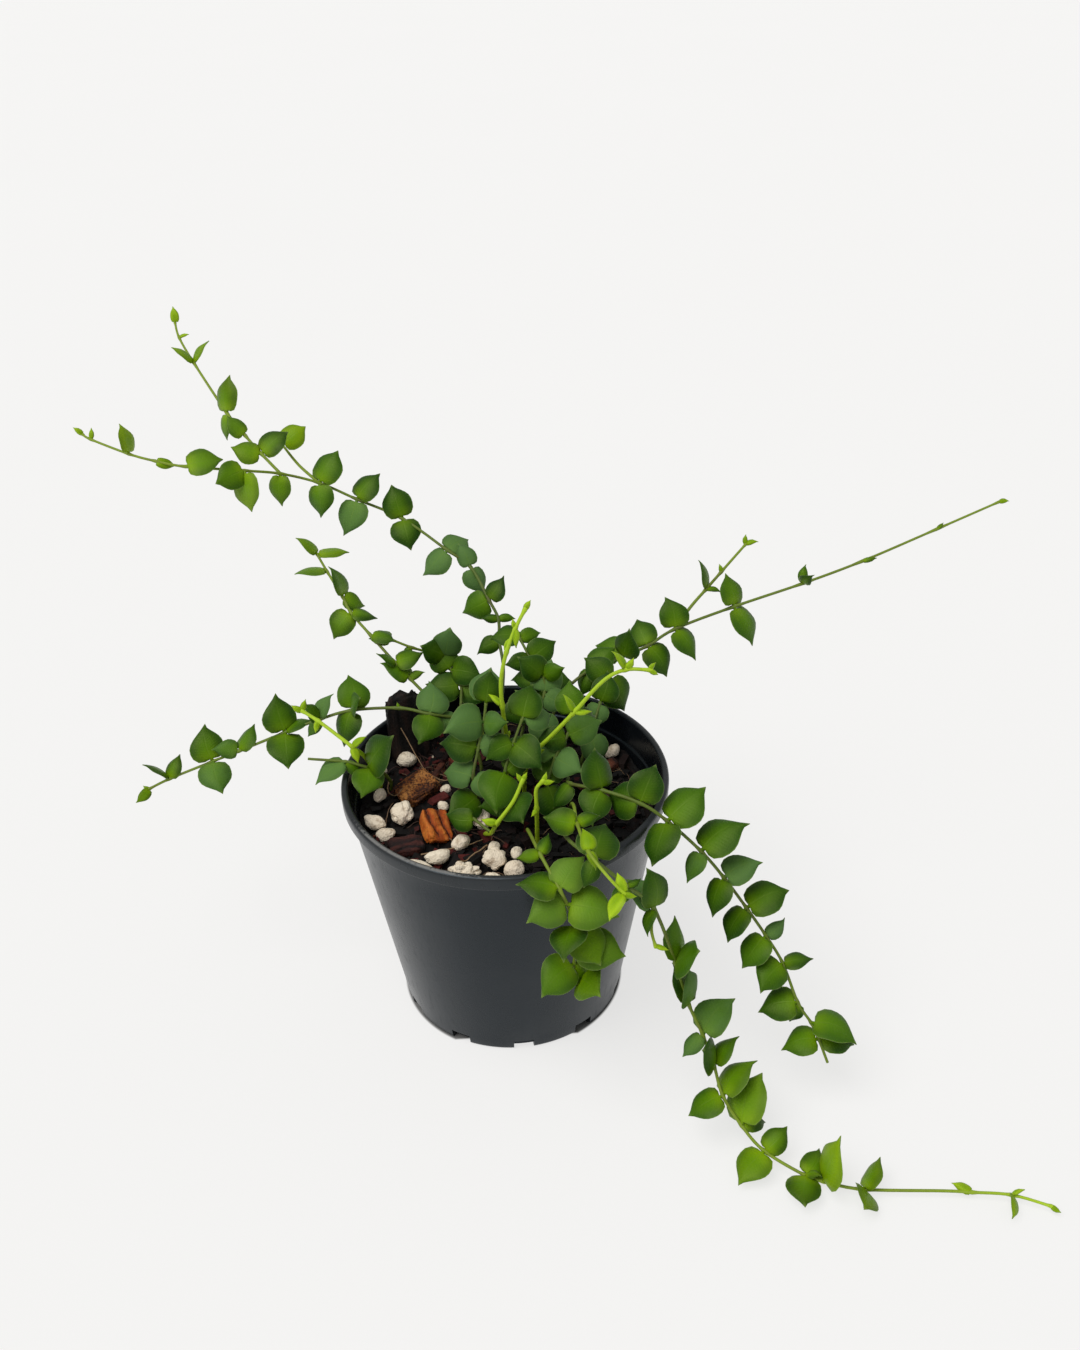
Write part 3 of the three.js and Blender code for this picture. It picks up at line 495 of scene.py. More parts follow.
def pot_finish(pot):
    """Black moulded plastic: faint upright flow marks, fine scratches, a film of dust low down, and pale
    scuffs on the edge of the lip, most of them at the front left, where they carry a painted highlight."""
    f = Finish("black_nursery_plastic")
    x, y, z = f.parts(f.place)
    upright = f.speckle(0.010, 4, 0.6, f.stretched((1, 1, 0.06)))
    scratch = f.speckle(0.0016, 2, 0.5, f.stretched((1, 1, 0.25), (0.3, 0.1, 0.8)))
    clouds = f.speckle(0.022, 5, 0.6)
    grit = f.speckle(0.0011, 3, 0.65)
    top = pot.height
    rim = pot.rim_radius
    low = z.ramp(0.016, 0.002)
    dust = (low * 0.4 + 0.10) * clouds.ramp(0.42, 0.72)
    level = f.node("ShaderNodeCombineXYZ", None, {0: x, 1: y})
    radius = f.node("ShaderNodeVectorMath", {"operation": "LENGTH"}, {0: level}, "Value")
    ring = radius.ramp(rim - 0.0019, rim - 0.0014) * radius.ramp(rim - 0.0004, rim - 0.0009)
    edge = ring * z.ramp(top - 0.0014, top - 0.0004)
    # Painted highlight: the scuffs gather at the front left of the lip's edge, where the light catches it.
    front_left_highlight = (x * -0.62 - y * 0.78).ramp(0.042, 0.0515)
    worn = (grit * 0.55 + clouds * 0.45 + front_left_highlight * 0.26 - 0.10).ramp(0.52, 0.66) * edge
    specks = grit.ramp(0.70, 0.76) * z.ramp(top - 0.012, top) * 0.5
    colour = f.blend(upright.ramp(0.3, 0.75), pot.plastic, [1.55 * c for c in pot.plastic])
    colour = f.blend(dust * 0.16, colour, pot.scuff_dust_and_highlight)
    lip = radius.ramp(rim - 0.0024, rim - 0.0014) * z.ramp(top - 0.0052, top - 0.0042)
    # Dust, specks, a paler lip band and the scuffs, those at the front left a painted highlight.
    colour = f.blend(worn * 0.75 + specks * 0.20 + lip * (0.05 + clouds * 0.10), colour, pot.scuff_dust_and_highlight)
    roughness = 0.22 + upright * 0.10 + dust * 0.28 + worn * 0.3 + scratch.ramp(0.55, 0.7) * 0.06
    height = upright * 0.5 + scratch * 0.22 + grit * 0.18 + worn * 0.5
    return f.finished(
        colour, roughness, height, 0.00010, Specular_IOR_Level=0.29, Specular_Tint=(0.68, 0.86, 1.0, 1.0))


# What fills the pot

MIX_GAP = 0.3
SETTLED = 0.8  # how far the fine mix lies under the level that its crumbs reach
WALL_RIM = 1.7  # from the outside of the wall to the mix
MIX_RINGS = 118
MIX_AROUND = 380
MIX_MIDDLE = 0.006  # share of the radius at which the rings end
GRAINS = sorted(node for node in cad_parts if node.startswith("perlite"))
GRAIN_GRID = (34, 52)  # rings, and points round each
FLAKE_GRID = (52, 104)
SEAT = 1.3  # how deep a grain is seated in the mix
SEAT_REACH = 1.35  # how far its seat reaches, where 1 is the side of the grain
CLEARANCE = 0.3  # from a grain or a flake to the crumbs
NEST = (-22.5, 16.0)  # where the fibres and splinters lie thickest
NEST_REACH = 10


def solid_points(node):
    """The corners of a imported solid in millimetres, each of them once."""
    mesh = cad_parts[node].data
    points = np.zeros(len(mesh.vertices) * 3)
    mesh.vertices.foreach_get("co", points)
    return np.unique(points.reshape(-1, 3).round(7), axis=0) / MM


def lie_of(node):
    """Centre, the three axes along which a solid is longest to thinnest, and its half sizes along them."""
    points = solid_points(node)
    middle = (points.max(axis=0) + points.min(axis=0)) / 2
    axes = np.linalg.svd(points - points.mean(axis=0), full_matrices=False)[2]
    if np.linalg.det(axes) < 0:
        axes[2] = -axes[2]
    along = (points - middle) @ axes.T
    centre = middle + (along.max(axis=0) + along.min(axis=0)) / 2 @ axes
    return centre, axes, (along.max(axis=0) - along.min(axis=0)) / 2


def seat_depth(x, y):
    """How far the mix gives way round the grains: SEAT exp(-(d / SEAT_REACH)^4), where d is 1 at a grain's
    side."""
    depth = np.zeros(np.broadcast(x, y).shape)
    for node in GRAINS:
        low, high = (np.array(corner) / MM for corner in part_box(node))
        across = (2 * x - low[0] - high[0]) / (high[0] - low[0])
        along = (2 * y - low[1] - high[1]) / (high[1] - low[1])
        depth = np.maximum(depth, SEAT * np.exp(-(np.hypot(across, along) / SEAT_REACH) ** 4))
    return depth


def mix_height(level, x, y):
    """Height of the mix: broad swells from sines, then crumbs from noise of 5.2, 2.4 and 1.1 mm, less the
    seats of the grains."""
    broad = np.sin(x * 0.31 + 1) * np.cos(y * 0.27) + 0.6 * np.sin(x * 0.13 - y * 0.36)
    swells = 0.55 * (broad + 0.4 * np.cos(x * 0.6 + y * 0.5))
    place = np.stack([x, y, np.zeros_like(x)], axis=-1)
    crumbly = 1.0 * noise(place, 5.2, 3) + 0.75 * np.abs(noise(place, 2.4, 5)) + 0.45 * noise(place, 1.1, 9)
    return level - SETTLED + swells + crumbly - seat_depth(x, y)


def mix_part(mix, pot):
    """The mix as rings about +Z: up its side from the floor of the pot, then over its crumbly top."""
    level = mix.level / MM
    side = lambda z: wall_radius(pot, z) - WALL_RIM
    shares = np.linspace(1, MIX_MIDDLE, MIX_RINGS)
    angle = 2 * np.pi * np.arange(MIX_AROUND) / MIX_AROUND
    low = np.array([POT_FLOOR + MIX_GAP, level * 0.5, level - 3])
    radii = np.concatenate([side(low), shares * side(level - 1)])
    x = radii[:, None] * np.cos(angle)
    y = radii[:, None] * np.sin(angle)
    z = mix_height(level, x, y)
    z[:3] = low[:, None]
    return part(np.stack([x, y, z], axis=2), ring_faces(len(radii), len(angle)))


def sphere_grid(rings, around):
    """Directions over a sphere, ring by ring from the bottom up, without its two poles."""
    tall = -np.cos(np.pi * (np.arange(rings) + 0.5) / rings)
    wide = np.sqrt(1 - tall ** 2)
    angle = 2 * np.pi * np.arange(around) / around
    return np.stack(np.broadcast_arrays(
        wide[:, None] * np.cos(angle), wide[:, None] * np.sin(angle), tall[:, None]), axis=2)


CORE = 0.74  # a grain's size before its knobs are added
WORN = 0.16  # how uneven a worn grain is

# The grains that popped into a clump of knobs, and how far each is swollen
POPPED = {"perlite_09": 0.62, "perlite_12": 0.50, "perlite_03": 0.30, "perlite_15": 0.30, "perlite_16": 0.40}


def grain_part(node, seed):
    """A grain of perlite, a ball drawn out to the size of its solid. With n as coarse noise on the
    direction, a worn one is CORE + WORN n and a popped one CORE + k|n|^0.7, which swells into knobs. Finer
    knobs and pits come on top."""
    centre, axes, half = lie_of(node)
    directions = sphere_grid(*GRAIN_GRID)
    if node in POPPED:
        knobs = POPPED[node] * np.abs(noise(directions + 3.7 * seed, 0.66, seed)) ** 0.7
    else:
        knobs = WORN * noise(directions + 3.7 * seed, 1.0, seed)
    fine = 0.05 * noise(directions + seed, 0.36, seed + 40, 2) + 0.02 * noise(directions, 0.12, seed + 60)
    body = directions * (CORE + knobs + fine)[..., None]
    body /= (body.max(axis=(0, 1)) - body.min(axis=(0, 1))) / 2
    body -= (body.max(axis=(0, 1)) + body.min(axis=(0, 1))) / 2
    return part(centre + body * half @ axes, ring_faces(*GRAIN_GRID), tone=seed % 7 / 6)


def perlite_finish(mix):
    """Porous cream-white stone: brown dirt in the hollows and fine pores."""
    f = Finish("perlite_grain")
    dirt = f.speckle(0.0030, 4, 0.6)
    pores = f.cells(0.00055)
    tone = f.mark("tone")
    colour = f.blend(dirt.ramp(0.50, 0.74), mix.perlite, (0.36, 0.27, 0.17))
    colour = f.blend(dirt.ramp(0.66, 0.82) * 0.8, colour, (0.10, 0.060, 0.03))
    colour = f.blend(tone * 0.25, colour, (0.74, 0.56, 0.42))
    return f.finished(colour, 0.85 - pores * 0.1, pores * 0.6 + dirt * 0.4, 0.0004, Specular_IOR_Level=0.3)


# Each flake: ridges across its width, height of the ridges, raggedness, how gritty it is rather than fibrous,
# and the colours of its back, its grooves and its worn crests; the grooves' dark is partly painted shade
# and the crests' pale partly a painted highlight
FLAKES = {
    "orange_bark_chip": (
        2.2, 0.50, 0.30, 0.25, (0.42, 0.072, 0.003), (0.020, 0.003, 0.001), (0.70, 0.23, 0.030)),
    "maroon_bark_chip": (
        1.8, 0.26, 0.34, 0.5, (0.030, 0.006, 0.005), (0.004, 0.0015, 0.0015), (0.10, 0.022, 0.014)),
    "husk_chip": (
        1.0, 0.12, 0.46, 1.0, (0.50, 0.160, 0.026), (0.040, 0.010, 0.004), (0.66, 0.29, 0.075)),
    "red_bark_stick": (
        1.5, 0.18, 0.24, 0.2, (0.12, 0.016, 0.008), (0.014, 0.003, 0.002), (0.26, 0.060, 0.025)),
    "broken_bark_stick": (
        1.5, 0.18, 0.24, 0.2, (0.12, 0.028, 0.012), (0.018, 0.005, 0.003), (0.26, 0.09, 0.035)),
    "right_bark_chip": (
        2.0, 0.20, 0.30, 0.4, (0.13, 0.034, 0.014), (0.016, 0.005, 0.003), (0.28, 0.09, 0.04)),
    "back_bark_chip": (
        2.0, 0.20, 0.30, 0.4, (0.045, 0.018, 0.011), (0.007, 0.004, 0.003), (0.11, 0.05, 0.03)),
    "standing_bark_chip": (
        2.0, 0.26, 0.40, 0.4, (0.005, 0.0032, 0.0026), (0.001, 0.0007, 0.0007), (0.034, 0.014, 0.009)),
}
BOXY = 0.42  # the power that the coordinates of a ball are raised to, which squares it up


def flake_part(node, seed):
    """A flake of bark: a boxy ball swollen by noise, its two broad faces ridged by a cosine across it that
    noise bends, in layers that end in ragged steps."""
    ridges, ridge, ragged, gritty = FLAKES[node][:4]
    centre, axes, half = lie_of(node)
    directions = sphere_grid(*FLAKE_GRID)
    body = np.sign(directions) * np.abs(directions) ** BOXY
    body *= (1 + ragged * 0.5 * noise(directions + 7.3 * seed, 1.1, seed, 3))[..., None]
    body *= (1 + gritty * 0.16 * noise(directions * [1.0, 1.0, 2.0] + seed, 0.24, seed + 110, 3))[..., None]
    along, across = body[..., 0], body[..., 1]
    bend = 0.75 * noise(body * [0.8, 0.9, 0.2] + seed, 1, seed + 20, 2)
    groove = np.abs(np.cos(np.pi * ridges / 2 * (across + bend))) ** 0.7
    layers = 0.13 * noise(body * [1.6, 7.0, 1.0] + seed, 1, seed + 30, 3)
    steps = 0.22 * np.round(1.6 * noise(body * [0.8, 1.3, 0.4] + seed, 1, seed + 70, 2)) / 1.6
    body[..., 2] *= 1 - ridge * (1 - groove) + layers + steps
    body[..., 0] *= 1 + 0.14 * noise(body * [0.3, 4.0, 2.0] + seed, 1, seed + 50, 2)
    body[..., 1] *= 1 + 0.10 * noise(body * [2.5, 0.3, 1.0] + seed, 1, seed + 90, 2)
    uv = np.stack([along, across], axis=-1) * 0.5 + 0.5
    # Height on the ridges: the finish paints low points as painted shade, high ones as a painted highlight.
    crest = np.clip(groove + layers, 0, 1)
    return part(centre + body * half @ axes, ring_faces(*FLAKE_GRID), uv, ridge=crest)


def flake_finish(node):
    """Bark or husk: its grooves dark, partly painted shade, and its crests worn pale, partly painted
    highlight, with fine fibres along it.
    """
    gritty, back, dark, pale = FLAKES[node][3:]
    f = Finish(node + "_finish")
    along, across = f.surface()
    grain = f.node("ShaderNodeCombineXYZ", None, {0: along * 3.0, 1: across * 26.0})
    fibres = f.speckle(0.625, 5, 0.65, grain)
    patches = f.speckle(0.0032, 4, 0.6)
    fine = f.speckle(0.0008, 4, 0.7)
    ridge = f.mark("ridge")
    thread = fibres * (1 - gritty) + fine * gritty
    # Dark in the grooves: the bark's own darker fissures, and painted shade.
    colour = f.blend((ridge * (0.5 - 0.35 * gritty) + thread * 1.2).ramp(0.60, 0.94), dark, back)
    # Pale on the crests and patches: wear, and a painted highlight on the crests.
    colour = f.blend((ridge * 0.4 + patches * 0.5 + thread * 0.6).ramp(0.80, 1.08) * 0.85, colour, pale)
    colour = f.blend(patches.ramp(0.58, 0.78) * 0.6, colour, dark)
    colour = f.blend(fine.ramp(0.52, 0.66) * 0.45, colour, dark)
    height = thread * 0.6 + fine * 0.4
    return f.finished(colour, 0.50 + thread * 0.35, height, 0.0007, Specular_IOR_Level=0.35)


def strewn(draw, count, reach):
    """Places spread evenly over a disc, and four draws from 0 to 1 for each."""
    radius = reach * np.sqrt(draw.random(count))
    angle = 2 * np.pi * draw.random(count)
    return radius * np.cos(angle), radius * np.sin(angle), draw.random((count, 4))


def sowing(count, seed, reach, near, near_seed):
    """Places over the mix and then over the nest, four draws from 0 to 1 for each, and the generator of those
    over the mix. They are the same on every run."""
    draw = np.random.default_rng(seed)
    x, y, draws = strewn(draw, count, reach)
    near_x, near_y, near_draws = strewn(np.random.default_rng(near_seed), near, NEST_REACH)
    x = np.concatenate([x, near_x + NEST[0]])
    y = np.concatenate([y, near_y + NEST[1]])
    return x, y, np.concatenate([draws, near_draws]), draw


def bare_of_pieces(x, y, margin):
    """True where a place on the mix is clear of every grain and flake."""
    clear = np.ones(len(x), bool)
    for node in [*FLAKES, *GRAINS]:
        low, high = (np.array(corner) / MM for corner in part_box(node))
        beside = (x > low[0] - margin) & (x < high[0] + margin)
        clear &= ~(beside & (y > low[1] - margin) & (y < high[1] + margin))
    return clear


# Eight corners of a cube with its faces: the roughest chip that can be told from a ball
CUBE = np.array([[x, y, z] for z in (-1, 1) for y in (-1, 1) for x in (-1, 1)], float)
CUBE_FACES = [[0, 2, 3, 1], [4, 5, 7, 6], [0, 1, 5, 4], [2, 6, 7, 3], [0, 4, 6, 2], [1, 3, 7, 5]]


def crumb_parts(mix, pot):
    """Loose crumbs, and long red-brown splinters in the nest at the left. Each is a cube with its corners
    moved at random, drawn out, tipped and turned. With d from 0 to 1, a crumb's half size is 0.45 + 1.5
    d^3."""
    level = mix.level / MM
    x, y, draws, draw = sowing(mix.crumbs, 11, wall_radius(pot, level) - WALL_RIM - 2, mix.fibres, 31)
    splinter = np.arange(len(x)) >= mix.crumbs
    keep = bare_of_pieces(x, y, CLEARANCE)
    x, y, draws, splinter = x[keep], y[keep], draws[keep], splinter[keep]
    size = np.where(splinter, 0.7, 0.45 + 1.5 * draws[:, 0] ** 3)
    long = np.where(splinter, 2.4 + 2.6 * draws[:, 0], 1 + 1.2 * draws[:, 1])
    stretch = np.stack([long, 0.55 + 0.5 * draws[:, 2], 0.35 + 0.35 * draws[:, 3]], axis=1)
    corners = CUBE[None] * (0.75 + 0.5 * draw.random((len(x), 8, 3)))
    corners = corners * stretch[:, None] * size[:, None, None]
    tip = draw.normal(0, 0.45, len(x))[:, None, None]
    turn = (2 * np.pi * draw.random(len(x)))[:, None, None]
    corners = turned_about(corners, np.array([0.0, 1.0, 0.0]), tip)
    corners = turned_about(corners, Z, turn)
    place = np.stack([x, y, mix_height(level, x, y) + 0.25 * size], axis=1)
    points = (corners + place[:, None]).reshape(-1, 3)
    faces = (np.array(CUBE_FACES)[None] + 8 * np.arange(len(x))[:, None, None]).reshape(-1, 4).tolist()
    tone = draw.random(len(x)) * (0.93 - 0.07 * np.clip(x / 20, -1, 1))
    tone = np.where(size > 0.9, np.minimum(tone, 0.9), tone)
    tone = np.where(splinter, 0.76 + 0.16 * tone, tone)
    return [part(points, faces, tone=np.repeat(tone, 8))]


# Longer roots on the mix, each by the points that it runs through and its height over the mix at each
LYING_ROOTS = [
    [(-36.9, 29.8, 16), (-34.4, 27.4, 12), (-31.6, 24.0, 8), (-28.4, 18.6, 4), (-25.6, 13.6, 1.6)],
    [(-38.6, 12.6, 1.4), (-38.9, 8, 1.6), (-37.8, 4.4, 1.8), (-35.6, 2.6, 2.4), (-33.6, 3.2, 4.6)],
    [(-6.6, -23.4, 1.4), (-10.6, -29, 2.6), (-13.0, -32.0, 2.8), (-15.5, -34, 4.6)],
    [(-33, 12, 1.4), (-27, 15, 1.6), (-21, 11, 1.8), (-17, 12, 1.2)],
    [(-27, -26, 1.2), (-19, -25, 1.8), (-12, -22.6, 1.4), (-6, -19, 1.2)],
]


def fibre_parts(mix, pot):
    """Fine roots and fibres: slight arcs that follow the height of the mix, thickest in a nest at the left,
    and the longer roots by their points."""
    level = mix.level / MM
    inside = wall_radius(pot, level) - WALL_RIM
    x, y, draws, _ = sowing(mix.fibres, 23, inside - 5, mix.fibres // 2, 29)
    parts = []
    for cx, cy, (long, bow, heading, tone) in zip(x, y, draws):
        t = np.linspace(-0.5, 0.5, 12)
        length = 4 + 12 * long
        angle = 2 * np.pi * heading + 1.6 * (bow - 0.5) * t
        px = cx + length * np.cumsum(np.cos(angle)) / len(t)
        py = cy + length * np.cumsum(np.sin(angle)) / len(t)
        if np.all(np.hypot(px, py) < inside - 1):
            pz = mix_height(level, px, py) + 0.35 + 1.6 * bow * (1 - 4 * t ** 2)
            parts.append(tube(np.stack([px, py, pz], axis=1), 0.09 + 0.09 * long, 5, tone=0.75 * tone))
    for i, route in enumerate(LYING_ROOTS):
        path = smooth_path(route, 8)
        path[:, 2] += mix_height(level, path[:, 0], path[:, 1]) * 0.3 + level * 0.7
        parts.append(tube(path, np.linspace(0.24, 0.13, len(path)), 6, tone=0.85 + 0.03 * i))
    return parts


def mix_finish(mix):
    """Damp bark mix: nearly black, browner on its crumbs, with moist glints in its hollows."""
    f = Finish("damp_bark_mix")
    clods = f.speckle(0.0042, 5, 0.65)
    crumbs = f.cells(0.0016)
    fine = f.speckle(0.0006, 3, 0.7)
    colour = f.blend(clods.ramp(0.45, 0.72), mix.earth, (0.010, 0.0040, 0.0028))
    colour = f.blend((clods * 0.5 + fine * 0.6).ramp(0.66, 0.78) * 0.7, colour, (0.045, 0.014, 0.008))
    roughness = 0.92 - clods.ramp(0.55, 0.35) * 0.30
    height = crumbs * 0.4 + clods * 0.3 + fine * 0.3
    return f.finished(colour, roughness, height, 0.0009, Specular_IOR_Level=0.22)


def crumb_finish():
    """Crumbs from black through maroon and brown to tan, and a few of perlite."""
    f = Finish("bark_crumbs")
    tone = f.mark("tone")
    fine = f.speckle(0.0008, 3, 0.6)
    colour = f.blend(tone.ramp(0.45, 0.75), (0.0022, 0.0017, 0.0016), (0.010, 0.0036, 0.0026))
    colour = f.blend(tone.ramp(0.76, 0.88), colour, (0.085, 0.012, 0.010))
    colour = f.blend(tone.ramp(0.91, 0.96), colour, (0.15, 0.050, 0.018))
    colour = f.blend(tone.ramp(0.975, 0.98), colour, (0.55, 0.47, 0.36))
    colour = f.blend(fine.ramp(0.5, 0.7) * 0.5, colour, (0.0040, 0.0028, 0.0024))
    return f.finished(colour, 0.7 + fine * 0.25, fine, 0.0003, Specular_IOR_Level=0.25)


def fibre_finish():
    """Roots and fibres from dark brown to pale tan."""
    f = Finish("root_fibres")
    tone = f.mark("tone")
    knots = f.speckle(0.0012, 3, 0.6)
    colour = f.blend(tone.ramp(0.3, 1.0), (0.035, 0.012, 0.007), (0.30, 0.19, 0.10))
    colour = f.blend(knots.ramp(0.5, 0.75) * 0.6, colour, (0.060, 0.026, 0.013))
    return f.finished(colour, 0.8 - knots * 0.15, knots, 0.0002)


# The plant

